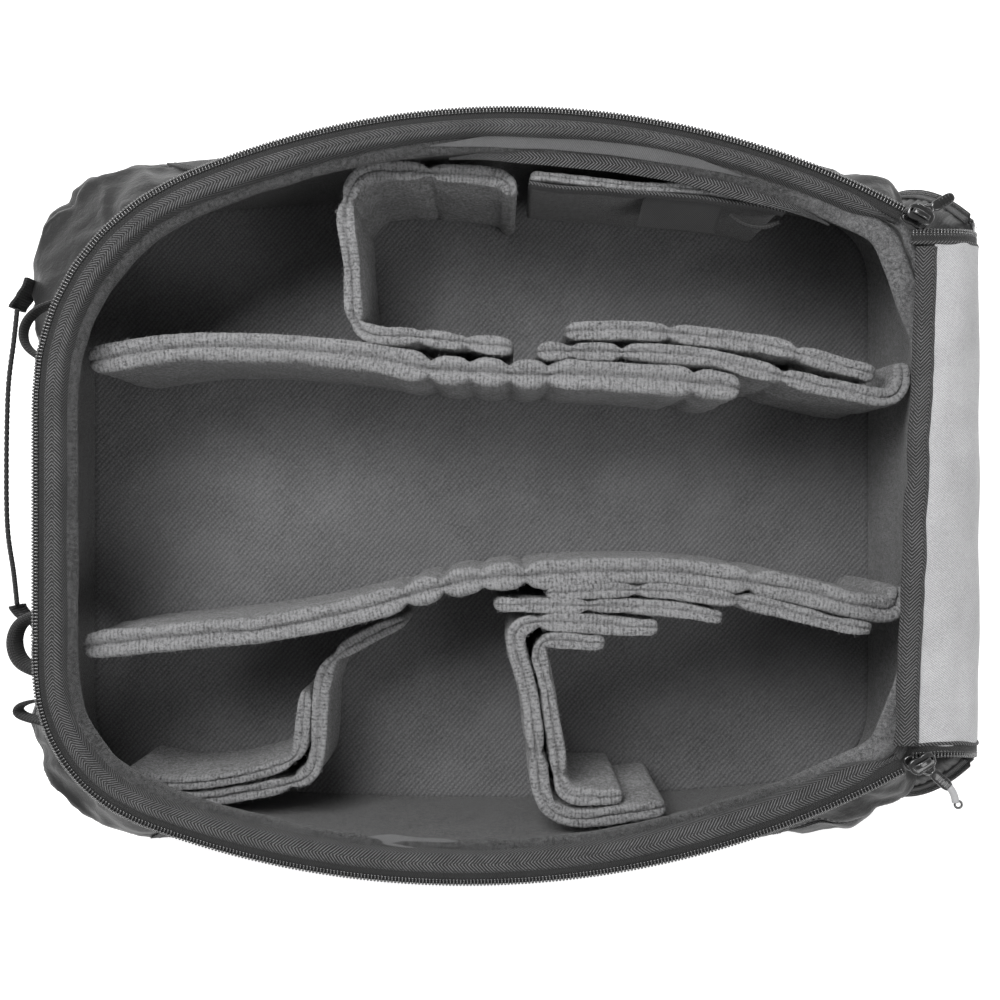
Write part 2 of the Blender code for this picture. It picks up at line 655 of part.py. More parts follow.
def bail_mesh(centre, base_z, heading):
    """The small arch on a slider that its pull hangs from."""
    ahead = Vector((math.cos(heading), math.sin(heading), 0.0))
    side = Vector((-ahead.y, ahead.x, 0.0)) * BAIL_WIRE
    reach = 0.0040
    rings = []
    for k in range(9):
        angle = math.pi * k / 8
        outer = Vector((centre.x, centre.y, base_z)) + ahead * reach * math.cos(angle)
        outer.z += BAIL_RISE * math.sin(angle)
        inner = Vector((centre.x, centre.y, base_z)) + ahead * (reach - BAIL_WIRE) * math.cos(angle)
        inner.z += (BAIL_RISE - BAIL_WIRE) * math.sin(angle)
        rings.append([outer + side, outer - side, inner - side, inner + side])
    bm = bmesh.new()
    skin_rings(bm, rings)
    bmesh.ops.recalc_face_normals(bm, faces=bm.faces[:])
    return bm


def join(body, extra):
    """Unites a second closed shape with an object's mesh."""
    mesh = bpy.data.meshes.new(body.name + "_extra")
    extra.to_mesh(mesh)
    extra.free()
    helper = bpy.data.objects.new(body.name + "_extra", mesh)
    helper.hide_render = True
    helper.display_type = "WIRE"
    bpy.context.scene.collection.objects.link(helper)
    union = body.modifiers.new("union", "BOOLEAN")
    union.operation = "UNION"
    union.object = helper


def pull(name, centre, top, heading):
    """A pull lying flat: a cross bar under the slider's arch and a frame that reaches outwards from it."""
    ahead = Vector((math.cos(heading), math.sin(heading), 0.0))
    side = Vector((-ahead.y, ahead.x, 0.0))
    axis_point = Vector((centre.x, centre.y, top + 0.0013))
    half = PULL_WIDTH / 2
    rail = 0.0016
    thick = PULL_THICK / 2

    def place(forward, across, up):
        return axis_point + ahead * forward + side * across + Vector((0.0, 0.0, up))

    bm = bmesh.new()
    outer = ((-thick, -half), (PULL_LENGTH * 0.55, -half), (PULL_LENGTH, -half * 0.6),
             (PULL_LENGTH, half * 0.6), (PULL_LENGTH * 0.55, half), (-thick, half))
    inner = ((thick, -half + rail), (0.0080, -half + rail), (0.0090, -half + rail * 1.4),
             (0.0090, half - rail * 1.4), (0.0080, half - rail), (thick, half - rail))
    rings = []
    for (fo, ao), (fi, ai) in zip(outer, inner):
        rings.append([place(fo, ao, -thick), place(fo, ao, thick), place(fi, ai, thick), place(fi, ai, -thick)])
    skin_rings(bm, rings, loop=True)
    add_object(name, bm, METAL, origin=tuple(axis_point))
    return axis_point, side


def sliders():
    for label, arc, parked, heading in (
        ("upper", OPENING["upper"], PARKED_UPPER, UPPER_PULL_HEADING),
        ("lower", OPENING["lower"], PARKED_LOWER, LOWER_PULL_HEADING),
    ):
        turned = math.radians(heading)
        centre, top = slider("slider_" + label, arc, math.radians(parked), turned)
        pull("pull_" + label, centre, top, turned)


def main():
    clear_scene()
    outer_shell()
    floor_layers()
    wall_pads()
    wall_lining()
    zip_of_bag()
    hinge_fabric()
    back_pads()
    dividers()
    side_pocket()
    far_end_straps()
    side_webbing()
    lid_near()
    lid_far()
    sliders()


main()
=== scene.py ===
"""Looks of the open camera backpack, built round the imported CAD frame. Metres, +Z up.

Every fabric piece takes its place from a CAD node: the plan line of a divider, the outline
of the wall, the edge of the lid. One cloth simulation then inflates the soft pieces together.
"""
import json
import math

import bmesh
import bpy
import numpy as np
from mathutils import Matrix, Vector, noise
from mathutils.bvhtree import BVHTree
from mathutils.kdtree import KDTree


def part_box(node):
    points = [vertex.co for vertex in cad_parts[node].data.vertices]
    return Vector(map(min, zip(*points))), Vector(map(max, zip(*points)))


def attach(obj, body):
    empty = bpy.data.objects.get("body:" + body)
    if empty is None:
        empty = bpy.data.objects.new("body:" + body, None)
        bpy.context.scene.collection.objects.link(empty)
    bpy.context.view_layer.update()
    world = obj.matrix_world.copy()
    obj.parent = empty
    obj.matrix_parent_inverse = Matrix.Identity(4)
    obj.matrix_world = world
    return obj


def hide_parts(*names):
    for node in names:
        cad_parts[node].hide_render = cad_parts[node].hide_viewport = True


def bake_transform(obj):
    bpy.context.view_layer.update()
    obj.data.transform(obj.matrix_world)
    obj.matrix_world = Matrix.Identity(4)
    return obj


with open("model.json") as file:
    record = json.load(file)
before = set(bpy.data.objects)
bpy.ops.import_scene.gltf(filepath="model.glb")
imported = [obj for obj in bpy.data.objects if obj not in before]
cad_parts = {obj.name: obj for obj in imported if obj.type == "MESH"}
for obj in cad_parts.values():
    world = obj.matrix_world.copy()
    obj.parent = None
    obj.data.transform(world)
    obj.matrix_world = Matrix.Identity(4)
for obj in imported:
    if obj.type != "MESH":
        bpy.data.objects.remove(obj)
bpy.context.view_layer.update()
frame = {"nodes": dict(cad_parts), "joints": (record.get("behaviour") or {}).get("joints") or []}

JOINTS = {joint["name"]: joint for joint in frame["joints"]}

# ---- driving values ------------------------------------------------------------------
TOOTH_PITCH = 0.00185
TAPE_THICK = 0.0009
STITCH_PITCH = 0.0032
STITCH_SHARE = 0.62         # length of a stitch as a share of its pitch
STITCH_RADIUS = 0.00028
SEAM_CORD = 0.0011
WALL_CENTRE = (-0.010, 0.0)
RAY_REACH = 0.6             # rays towards the bag start this far out
UPWARD = np.array([0.0, 0.0, 1.0])
SEED = 7
SIMULATED_FRAMES = 14

rng = np.random.default_rng(SEED)


# ---- arrays and curves ---------------------------------------------------------------
def smoothstep(value):
    value = np.clip(value, 0.0, 1.0)
    return value * value * (3.0 - 2.0 * value)


def hump(value, centre, width):
    """A bell curve of height 1."""
    return np.exp(-((value - centre) / width) ** 2)


def quarter_round(distance, reach):
    """Height of a quarter circle that rises from 0 at its edge to 1 at its reach."""
    return np.sqrt(np.clip(1.0 - (1.0 - np.clip(distance / reach, 0.0, 1.0)) ** 2, 0.0, 1.0))


def unit(vectors):
    return vectors / np.maximum(np.linalg.norm(vectors, axis=-1, keepdims=True), 1e-12)


def outwards(points):
    """Unit plan directions away from the middle of the bag."""
    return unit(points[..., :2] - np.array(WALL_CENTRE))


def flat3(vectors):
    return np.column_stack([vectors, np.zeros(len(vectors))])


def lifted(line, height):
    return np.column_stack([line, np.broadcast_to(height, len(line))])


def tiled(vector, line):
    """The same vector for every point of a line."""
    return np.tile(vector, (len(line), 1))


def spread(along, across):
    """A grid of pairs: one row for each length along, one column for each length across."""
    return np.stack(np.broadcast_arrays(along[:, None], across[None, :]), axis=-1)


def lengths_along(points):
    steps = np.linalg.norm(np.diff(points, axis=0), axis=1)
    return np.concatenate([[0.0], np.cumsum(steps)])


def read_at(marks, along, values):
    """Values of a line's points, read at other lengths along it."""
    return np.stack([np.interp(marks, along, column) for column in values.T], axis=1)


def resample(points, step, rounds=6):
    """Even points along a line, smoothed a little between its fixed ends."""
    points = np.asarray(points, float)
    along = lengths_along(points)
    count = max(4, int(round(along[-1] / step)) + 1)
    marks = np.linspace(0.0, along[-1], count)
    line = read_at(marks, along, points)
    for _ in range(rounds):
        line[1:-1] = 0.25 * line[:-2] + 0.5 * line[1:-1] + 0.25 * line[2:]
    return line


def plan_normals(line):
    """Unit directions to the left of a plan line."""
    ahead = unit(np.gradient(line[:, :2], axis=0))
    return np.stack([-ahead[:, 1], ahead[:, 0]], axis=1)


def wobble(points, size, seed=0.0):
    """Smooth random value between about -1 and 1 at each point; size is the length of one lump."""
    points = np.asarray(points, float)
    if points.shape[1] == 2:
        points = flat3(points)
    shift = np.array([seed, -seed, 3.1 * seed])
    return np.array([noise.noise(Vector(point)) for point in points / size + shift])


# ---- reading the frame ---------------------------------------------------------------
def merged(name):
    bm = bmesh.new()
    bm.from_mesh(frame["nodes"][name].data)
    bmesh.ops.remove_doubles(bm, verts=bm.verts[:], dist=1e-5)
    return bm


def tree_of(name):
    bm = merged(name)
    tree = BVHTree.FromBMesh(bm)
    bm.free()
    return tree


def top_loop(name):
    """The loop of points round a CAD node's flat upper face, in order."""
    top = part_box(name)[1].z
    bm = merged(name)
    flat = {face for face in bm.faces if all(vert.co.z > top - 1e-4 for vert in face.verts)}
    links = {}
    for edge in bm.edges:
        if sum(face in flat for face in edge.link_faces) == 1:
            first, second = edge.verts
            links.setdefault(first.index, []).append(second.index)
            links.setdefault(second.index, []).append(first.index)
    bm.verts.ensure_lookup_table()
    start = next(iter(links))
    loop, previous = [start], None
    while True:
        step = [index for index in links[loop[-1]] if index != previous]
        previous = loop[-1]
        if not step or step[0] == start:
            break
        loop.append(step[0])
    points = np.array([bm.verts[index].co[:] for index in loop])
    bm.free()
    return points


def rows_by_level(name):
    """Each height of a CAD node's vertices with their plan points, from the lowest up."""
    bm = merged(name)
    levels = sorted({round(vert.co.z, 4) for vert in bm.verts})
    rows = [
        (level, [vert.co[:2] for vert in bm.verts if abs(vert.co.z - level) < 1e-4])
        for level in levels
    ]
    bm.free()
    return rows


def ribbon(name, step=0.0022, start=None, rounds=6):
    """Plan centreline and width of a CAD band: its upper face's loop, paired across from end to end.

    The line begins at the end nearer to start, or else at its leftmost, upper end.
    """
    loop = top_loop(name)
    count = len(loop)
    half = count // 2
    order = np.arange(half)
    best = None
    for shift in range(count):
        one = loop[(shift + order) % count]
        two = loop[(shift - 1 - order) % count]
        across = np.linalg.norm(one - two, axis=1)
        score = across.std() + 0.2 * across.mean()
        if best is None or score < best[0] - 1e-9:
            best = (score, (one + two)[:, :2] / 2, across.mean())
    line, width = best[1], best[2]
    if start is None:
        rank = [end[0] - 0.5 * end[1] for end in (line[0], line[-1])]
    else:
        rank = [np.linalg.norm(end - start) for end in (line[0], line[-1])]
    if rank[1] < rank[0]:
        line = line[::-1]
    return resample(line, step, rounds), width


# ---- meshes --------------------------------------------------------------------------
def surface(name, grid, uv, material, wrap=False, caps=False):
    """A mesh from a grid of points (rows, columns, xyz).

    With wrap each row is a closed ring, and caps fills the end rings. uv holds metres along and
    across, with one more column than the grid when it wraps.
    """
    rows, columns = grid.shape[:2]
    across = np.arange(columns if wrap else columns - 1)
    i, j = np.meshgrid(np.arange(rows - 1), across, indexing="ij")
    i, j = i.ravel(), j.ravel()
    here, below = i * columns, (i + 1) * columns
    ahead = (j + 1) % columns
    faces = np.stack([here + j, below + j, below + ahead, here + ahead], axis=1)
    corner_uv = np.stack([uv[i, j], uv[i + 1, j], uv[i + 1, j + 1], uv[i, j + 1]], axis=1)
    corner_uv = corner_uv.reshape(-1, 2)
    face_list = faces.tolist()
    if caps:
        face_list.append(list(range(columns - 1, -1, -1)))
        face_list.append([(rows - 1) * columns + k for k in range(columns)])
        ends = np.concatenate([uv[0, :columns][::-1], uv[-1, :columns]])
        corner_uv = np.concatenate([corner_uv, ends])
    return mesh_object(name, grid.reshape(-1, 3), face_list, corner_uv, material)


def mesh_object(name, points, faces, corner_uv, material):
    mesh = bpy.data.meshes.new(name)
    mesh.from_pydata(points.tolist(), [], faces)
    if corner_uv is not None:
        layer = mesh.uv_layers.new(name="UVMap")
        layer.data.foreach_set("uv", np.ascontiguousarray(corner_uv, np.float32).ravel())
    mesh.materials.append(material)
    bm = bmesh.new()
    bm.from_mesh(mesh)
    bmesh.ops.recalc_face_normals(bm, faces=bm.faces[:])
    bm.to_mesh(mesh)
    bm.free()
    mesh.shade_smooth()
    obj = bpy.data.objects.new(name, mesh)
    bpy.context.scene.collection.objects.link(obj)
    return obj


def section_lengths(section):
    """Length round a closed section, with the closing point repeated at the end."""
    ring = np.concatenate([section, section[:1]])
    return lengths_along(ring)


def sweep(name, line, side, up, section, material, caps=True):
    """Carries a closed section along a 3-D line.

    The section holds (along side, along up), once for all rows or once for each row.
    """
    sections = np.asarray(section, float)
    if sections.ndim == 2:
        sections = np.broadcast_to(sections, (len(line), *sections.shape))
    grid = line[:, None] + sections[..., :1] * side[:, None] + sections[..., 1:] * up[:, None]
    along = lengths_along(line)
    round_it = section_lengths(sections[len(sections) // 2])
    uv = spread(along, round_it)
    return surface(name, grid, uv, material, wrap=True, caps=caps)


def rounded_strip(width, thick, across=8, corner=3):
    """Section of a flat strap with soft edges, centred on its line."""
    half, radius = width / 2, thick / 2
    points = []
    for side in (1, -1):
        turn = 0 if side == 1 else math.pi
        for k in range(across + 1):
            points.append((side * (half - radius) * (2 * k / across - 1), -side * radius))
        for k in range(1, corner + 1):
            angle = turn - math.pi / 2 + math.pi * k / (corner + 1)
            points.append((side * (half - radius) + radius * math.cos(angle), radius * math.sin(angle)))
    return np.array(points)


def circle_section(radius, sides=8):
    angles = np.linspace(0.0, math.tau, sides, endpoint=False)
    return np.stack([np.cos(angles), np.sin(angles)], axis=1) * radius


def join(name, objects):
    bpy.ops.object.select_all(action="DESELECT")
    for obj in objects:
        obj.select_set(True)
    bpy.context.view_layer.objects.active = objects[0]
    bpy.ops.object.join()
    objects[0].name = name
    objects[0].data.name = name
    return objects[0]


def subdivide(obj, levels=1):
    modifier = obj.modifiers.new("Subdivision", "SUBSURF")
    modifier.levels = levels
    modifier.render_levels = levels
    apply_modifiers(obj)


def apply_modifiers(obj):
    graph = bpy.context.evaluated_depsgraph_get()
    shaped = obj.evaluated_get(graph)
    made = bpy.data.meshes.new_from_object(shaped, preserve_all_data_layers=True, depsgraph=graph)
    obj.modifiers.clear()
    old = obj.data
    obj.data = made
    bpy.data.meshes.remove(old)
    obj.data.name = obj.name


def thicken(obj, thickness):
    """Gives an open sheet a thickness behind its face."""
    solid = obj.modifiers.new("Solidify", "SOLIDIFY")
    solid.thickness = thickness
    solid.offset = -1.0
    apply_modifiers(obj)


def weld(obj):
    """Closes a sheet made of two halves along their shared border."""
    bm = bmesh.new()
    bm.from_mesh(obj.data)
    bmesh.ops.remove_doubles(bm, verts=bm.verts[:], dist=2e-5)
    bmesh.ops.dissolve_degenerate(bm, dist=1e-6, edges=bm.edges[:])
    bmesh.ops.recalc_face_normals(bm, faces=bm.faces[:])
    bm.to_mesh(obj.data)
    bm.free()
    obj.data.shade_smooth()


def points_of(obj):
    flat = np.empty(len(obj.data.vertices) * 3)
    obj.data.vertices.foreach_get("co", flat)
    return flat.reshape(-1, 3)


def set_points(obj, points):
    obj.data.vertices.foreach_set("co", np.ascontiguousarray(points, np.float32).ravel())
    obj.data.update()


def normals_of(obj):
    flat = np.empty(len(obj.data.vertices) * 3)
    obj.data.vertices.foreach_get("normal", flat)
    return flat.reshape(-1, 3)


# ---- beads: one small closed shape repeated along a line -----------------------------
def bead_shape(half_length, radius, rings=4, sides=6):
    """Points and faces of a capsule along X."""
    points = [(-half_length, 0.0, 0.0)]
    for k in range(rings):
        angle = math.pi * (k + 0.7) / (rings + 0.4)
        reach = math.sin(angle) ** 0.6 * radius
        x = -half_length * math.cos(angle)
        for n in range(sides):
            turn = math.tau * n / sides
            points.append((x, reach * math.cos(turn), reach * math.sin(turn)))
    points.append((half_length, 0.0, 0.0))
    faces = []
    for n in range(sides):
        faces.append((0, 1 + (n + 1) % sides, 1 + n))
        for k in range(rings - 1):
            low, high = 1 + k * sides, 1 + (k + 1) * sides
            faces.append((low + n, low + (n + 1) % sides, high + (n + 1) % sides, high + n))
        last = 1 + (rings - 1) * sides
        faces.append((len(points) - 1, last + n, last + (n + 1) % sides))
    return np.array(points), faces


def beads(name, places, x_axes, z_axes, shape, material):
    """Copies of one shape at each place, turned to the given axes, as one mesh."""
    points, faces = shape
    x_axes = unit(x_axes)
    y_axes = unit(np.cross(z_axes, x_axes))
    z_axes = np.cross(x_axes, y_axes)
    grid = (
        places[:, None] + points[None, :, :1] * x_axes[:, None]
        + points[None, :, 1:2] * y_axes[:, None] + points[None, :, 2:] * z_axes[:, None]
    )
    count = len(points)
    every = [tuple(index + k * count for index in face) for k in range(len(places)) for face in faces]
    return mesh_object(name, grid.reshape(-1, 3), every, None, material)


def stitches(name, line, normal, pitch=STITCH_PITCH):
    """A row of thread stitches lying on a surface along a line."""
    along = lengths_along(line)
    marks = np.arange(pitch / 2, along[-1], pitch)
    centre = read_at(marks, along, line)
    up = unit(read_at(marks, along, normal))
    heading = read_at(marks, along, np.gradient(line, axis=0))
    stitch = bead_shape(pitch * STITCH_SHARE / 2, STITCH_RADIUS, 3, 5)
    return beads(name, centre, heading, up, stitch, THREAD)


# ---- materials -----------------------------------------------------------------------
class Shade:
    """A Principled material, with short calls for the nodes that feed it."""

    def __init__(self, name, roughness=0.8, metallic=0.0, sheen=0.0, coat=0.0, specular=0.5):
        self.material = bpy.data.materials.new(name)
        self.material.use_nodes = True
        self.tree = self.material.node_tree
        self.shader = self.tree.nodes["Principled BSDF"]
        values = {
            "Roughness": roughness,
            "Metallic": metallic,
            "Sheen Weight": sheen,
            "Sheen Roughness": 0.5,
            "Coat Weight": coat,
            "Specular IOR Level": specular,
        }
        for socket, value in values.items():
            self.shader.inputs[socket].default_value = value
        self.bump_out = None

    def node(self, kind, inputs=None, output=0, **settings):
        made = self.tree.nodes.new("ShaderNode" + kind)
        for key, value in settings.items():
            setattr(made, key, value)
        for key, value in (inputs or {}).items():
            if isinstance(value, bpy.types.NodeSocket):
                self.tree.links.new(value, made.inputs[key])
            else:
                made.inputs[key].default_value = value
        return made.outputs[output]

    def math(self, operation, first, second=0.0, third=0.0):
        return self.node("Math", {0: first, 1: second, 2: third}, operation=operation)

    def scale_add(self, value, factor, offset=0.0):
        return self.math("MULTIPLY_ADD", value, factor, offset)

    def total(self, offset, *layers):
        """An offset plus each layer times its weight."""
        value = offset
        for layer, weight in reversed(layers):
            value = self.scale_add(layer, weight, value)
        return value

    def axes(self, vector):
        """The three components of a vector."""
        split = self.tree.nodes.new("ShaderNodeSeparateXYZ")
        self.tree.links.new(vector, split.inputs[0])
        return split.outputs

    def uv(self):
        """Metres along and across a piece."""
        split = self.axes(self.node("UVMap", uv_map="UVMap"))
        return split[0], split[1]

    def position(self):
        return self.node("TexCoord", output="Object")

    def speckle(self, scale, detail=2.0, rough=0.5, stretch=None):
        """Noise from 0 to 1 over the piece."""
        vector = self.position()
        if stretch:
            vector = self.node("VectorMath", {0: vector, 1: stretch}, operation="MULTIPLY")
        inputs = {"Vector": vector, "Scale": scale, "Detail": detail, "Roughness": rough}
        return self.node("TexNoise", inputs)

    def wave(self, value, pitch):
        """Sine of a length with the given pitch, from 0 to 1."""
        turns = self.math("MULTIPLY", value, math.tau / pitch)
        return self.scale_add(self.math("SINE", turns), 0.5, 0.5)

    def colour(self, factor, dark, light):
        """A mix of two tones."""
        return self.node("Mix", {0: factor, 6: dark, 7: light}, output=2, data_type="RGBA")

    def tones(self, factor, dark, light):
        """Sets the base colour between two tones."""
        mixed = self.colour(self.node("Clamp", {0: factor}), dark, light)
        self.tree.links.new(mixed, self.shader.inputs["Base Color"])

    def rough(self, value):
        self.tree.links.new(value, self.shader.inputs["Roughness"])

    def bump(self, height, distance, strength=1.0):
        """Adds a layer of relief over the ones before it."""
        inputs = {"Strength": strength, "Distance": distance, "Height": height}
        if self.bump_out:
            inputs["Normal"] = self.bump_out
        self.bump_out = self.node("Bump", inputs)

    def done(self):
        if self.bump_out:
            self.tree.links.new(self.bump_out, self.shader.inputs["Normal"])
        return self.material


def grey(value, tint=0.02):
    """A grey that leans slightly to blue."""
    return value, value, value * (1.0 + tint), 1.0


def fleece_material(name, dark, light, ribs=True, end=None):
    """Brushed fleece: a fuzzy nap, with painted light paling its up-facing upper edges, and soft knit
    ribs there.

    With end, a pair of tones, it turns to them towards the hinge end of the bag.
    """
    shade = Shade(name, roughness=1.0, sheen=0.30, specular=0.1)
    nap = shade.speckle(1500.0, 3.0, 0.8)
    fuzz = shade.speckle(560.0, 4.0, 0.75, stretch=(1.0, 1.0, 0.55))
    cloud = shade.speckle(40.0, 4.0, 0.6)
    tone = shade.total(-2.60, (nap, 2.3), (fuzz, 3.2), (cloud, 0.6))
    if ribs:
        along, across = shade.uv()
        # edge: how far the fleece faces up; it masks the knit ribs and also sets where painted light
        # falls
        upward = shade.axes(shade.node("NewGeometry", output="Normal"))[2]
        edge = shade.node("Clamp", {0: shade.scale_add(upward, 1.8, 0.05)})
        jitter = shade.scale_add(shade.speckle(330.0, 3.0, 0.7), 0.0017)
        rib = shade.wave(shade.math("ADD", along, jitter), 0.0022)
        loop = shade.wave(shade.math("ADD", across, jitter), 0.0019)
        knit = shade.math("MULTIPLY", shade.scale_add(loop, 0.45, 0.55), rib)
        relief = shade.math("MULTIPLY", knit, edge)
        # painted light: fleece that faces up gets a paler tone than its sides, which stay darker as
        # painted shade
        tone = shade.total(-0.06, (relief, 0.50), (edge, 0.19), (tone, 1.0))
        shade.bump(relief, 0.0007, 0.8)
    if end:
        x = shade.axes(shade.position())[0]
        share = shade.node("Clamp", {0: shade.scale_add(x, 1.0 / 0.045, -0.150 / 0.045)})
        dark = shade.colour(share, dark, end[0])
        light = shade.colour(share, light, end[1])
    shade.tones(tone, dark, light)
    shade.bump(fuzz, 0.0022, 0.9)
    shade.bump(nap, 0.0009, 1.0)
    return shade.done()


def floor_fleece_material():
    """Grey fleece with a soft slanting knit."""
    shade = Shade("floor_fleece", roughness=1.0, sheen=0.3, specular=0.1)
    x, y, _ = shade.axes(shade.position())
    jitter = shade.scale_add(shade.speckle(260.0, 3.0, 0.7), 0.0034)
    slant = shade.math("ADD", shade.scale_add(y, -0.9, x), jitter)
    cross = shade.math("ADD", shade.scale_add(y, 0.9, x), jitter)
    rib = shade.wave(slant, 0.0036)
    knit = shade.math("MULTIPLY", rib, shade.scale_add(shade.wave(cross, 0.0028), 0.5, 0.5))
    nap = shade.speckle(1000.0, 4.0, 0.8)
    cloud = shade.speckle(24.0, 4.0, 0.6)
    tone = shade.total(-0.90, (knit, 0.40), (nap, 1.8), (cloud, 0.6))
    shade.tones(tone, grey(0.060), grey(0.205))
    shade.bump(knit, 0.0006, 0.6)
    shade.bump(nap, 0.0008, 0.8)
    return shade.done()


def nylon_material():
    """Thin coated nylon: a fine plain weave, crossed by small creases."""
    shade = Shade("charcoal_nylon", roughness=0.62, sheen=0.06, specular=0.30)
    crease = shade.speckle(55.0, 5.0, 0.62)
    sharp = shade.math("ABSOLUTE", shade.scale_add(crease, 2.0, -1.0))
    fine = shade.speckle(1400.0, 2.0, 0.6)
    cloud = shade.speckle(14.0, 4.0, 0.6)
    tone = shade.total(-0.2, (fine, 0.45), (cloud, 0.7), (sharp, 0.35))
    shade.tones(tone, grey(0.004), grey(0.021))
    shade.rough(shade.scale_add(cloud, 0.25, 0.36))
    shade.bump(sharp, 0.0016, 0.55)
    shade.bump(fine, 0.0003, 0.5)
    return shade.done()


def herringbone_material(name, dark, light, pitch=0.0013, column=0.0024):
    """Black twill woven in zigzag ribs, each rib a row of raised yarns."""
    shade = Shade(name, roughness=0.7, sheen=0.08, specular=0.4)
    along, across = shade.uv()
    sway = shade.scale_add(shade.speckle(90.0, 2.0, 0.5), 0.0012)
    zigzag = shade.math("PINGPONG", shade.math("ADD", across, sway), column)
    rib = shade.wave(shade.math("ADD", along, zigzag), pitch)
    yarn = shade.wave(shade.math("SUBTRACT", across, along), pitch * 0.72)
    grain = shade.speckle(1500.0, 3.0, 0.75)
    cloud = shade.speckle(60.0, 3.0, 0.6)
    weave = shade.math("MULTIPLY", shade.math("POWER", rib, 1.6), shade.scale_add(yarn, 0.35, 0.65))
    tone = shade.total(-1.55, (weave, 1.45), (grain, 1.9), (cloud, 0.7))
    shade.tones(tone, dark, light)
    shade.bump(weave, 0.0008, 1.0)
    shade.bump(grain, 0.0004, 0.6)
    return shade.done()


def webbing_material():
    """Woven strap with cross ribs and a lengthways weave."""
    shade = Shade("black_webbing", roughness=0.72, sheen=0.12, specular=0.35)
    along, across = shade.uv()
    ribs = shade.wave(along, 0.0016)
    warp = shade.wave(across, 0.0011)
    weave = shade.math("MULTIPLY", ribs, warp)
    yarn = shade.speckle(1200.0, 3.0, 0.7)
    tone = shade.total(-0.35, (weave, 0.6), (yarn, 0.7))
    shade.tones(tone, grey(0.007), grey(0.050))
    shade.bump(weave, 0.0006, 0.9)
    shade.bump(yarn, 0.0003, 0.5)
    return shade.done()


def twill_material(name, dark, light, sheen=0.15):
    """Smooth lining cloth with fine slanting lines."""
    shade = Shade(name, roughness=0.6, sheen=sheen, specular=0.35)
    along, across = shade.uv()
    bend = shade.scale_add(shade.speckle(70.0, 2.0, 0.5), 0.0010)
    slant = shade.math("ADD", along, shade.scale_add(across, 0.8, bend))
    line = shade.wave(slant, 0.00125)
    warp = shade.wave(shade.scale_add(along, 0.25, across), 0.0009)
    yarn = shade.speckle(1100.0, 2.0, 0.6)
    cloud = shade.speckle(26.0, 4.0, 0.6)
    weave = shade.math("MULTIPLY", line, shade.scale_add(warp, 0.4, 0.6))
    tone = shade.total(-0.72, (weave, 0.80), (yarn, 0.9), (cloud, 0.8))
    shade.tones(tone, dark, light)
    shade.bump(line, 0.0003, 0.6)
    shade.bump(cloud, 0.0015, 0.3)
    return shade.done()


def thread_material(name, dark, light):
    shade = Shade(name, roughness=0.65, sheen=0.1, specular=0.35)
    ply = shade.speckle(2200.0, 3.0, 0.7)
    shade.tones(ply, dark, light)
    shade.bump(ply, 0.0002, 0.6)
    return shade.done()


def coil_material():
    """Black nylon coil teeth, glossy where they are rubbed."""
    shade = Shade("zip_coil", roughness=0.25, specular=0.8, coat=0.6)
    wear = shade.speckle(420.0, 3.0, 0.6)
    shade.tones(wear, grey(0.004), grey(0.030))
    shade.rough(shade.scale_add(wear, 0.30, 0.08))
    shade.bump(wear, 0.0002, 0.4)
    return shade.done()


def metal_material():
    """Black painted zinc with grey showing where the paint has rubbed."""
    shade = Shade("painted_zinc", roughness=0.25, metallic=0.55, coat=0.5, specular=0.6)
    grain = shade.speckle(900.0, 3.0, 0.6)
    patch = shade.speckle(160.0, 4.0, 0.7)
    pointed = shade.node("NewGeometry", output="Pointiness")
    worn = shade.math("MULTIPLY", shade.scale_add(pointed, 9.0, -4.7), patch)
    shade.tones(worn, grey(0.008), grey(0.22))
    shade.rough(shade.scale_add(grain, 0.25, 0.12))
    shade.bump(grain, 0.0001, 0.5)
    return shade.done()


def spacer_mesh_material():
    """Black spacer mesh: rows of small open cells over foam."""
    shade = Shade("spacer_mesh", roughness=0.85, sheen=0.15, specular=0.3)
    cells = shade.node("TexVoronoi", {"Vector": shade.position(), "Scale": 330.0}, feature="F1")
    yarn = shade.speckle(1400.0, 3.0, 0.7)
    tone = shade.total(0.65, (cells, -1.1), (yarn, 0.5))
    shade.tones(tone, grey(0.010), grey(0.075))
    shade.bump(shade.math("MULTIPLY", cells, -1.0), 0.0012, 0.9)
    shade.bump(yarn, 0.0003, 0.5)
    return shade.done()


def board_material():
    shade = Shade("base_sheet", roughness=0.5, specular=0.4)
    grain = shade.speckle(600.0, 3.0, 0.6)
    shade.tones(grain, grey(0.018), grey(0.045))
    shade.bump(grain, 0.0003, 0.6)
    return shade.done()


FLEECE = fleece_material("grey_fleece", grey(0.035), grey(0.310))
WALL_FLEECE = fleece_material(
    "dark_wall_fleece", grey(0.008), grey(0.080), ribs=False, end=(grey(0.050), grey(0.205)),
)
FLOOR_FLEECE = floor_fleece_material()
NYLON = nylon_material()
TAPE = herringbone_material("zip_tape_weave", grey(0.003), grey(0.040), 0.0011, 0.0011)
BINDING = herringbone_material("binding_weave", grey(0.002), grey(0.150), 0.0019, 0.0055)
WEBBING = webbing_material()
TWILL = twill_material("silver_twill", grey(0.190), grey(0.440))
PALE_STRIP = twill_material("pale_facing", grey(0.045), grey(0.110))
SATIN = twill_material("dark_satin", grey(0.012), grey(0.050))
THREAD = thread_material("dark_thread", grey(0.006), grey(0.045))
COIL = coil_material()
METAL = metal_material()
SPACER = spacer_mesh_material()
BOARD = board_material()
CORD = thread_material("grey_cord", grey(0.20), grey(0.40))


# ---- cloth simulation ----------------------------------------------------------------
SIMULATED = []
CLOTH = {
    "quality": 5,
    "mass": 0.1,
    "tension_stiffness": 12.0,
    "compression_stiffness": 12.0,
    "shear_stiffness": 4.0,
    "bending_stiffness": 0.4,
    "air_damping": 2.0,
}
HOLD_OUT = 0.85             # share of an inward movement that is taken back


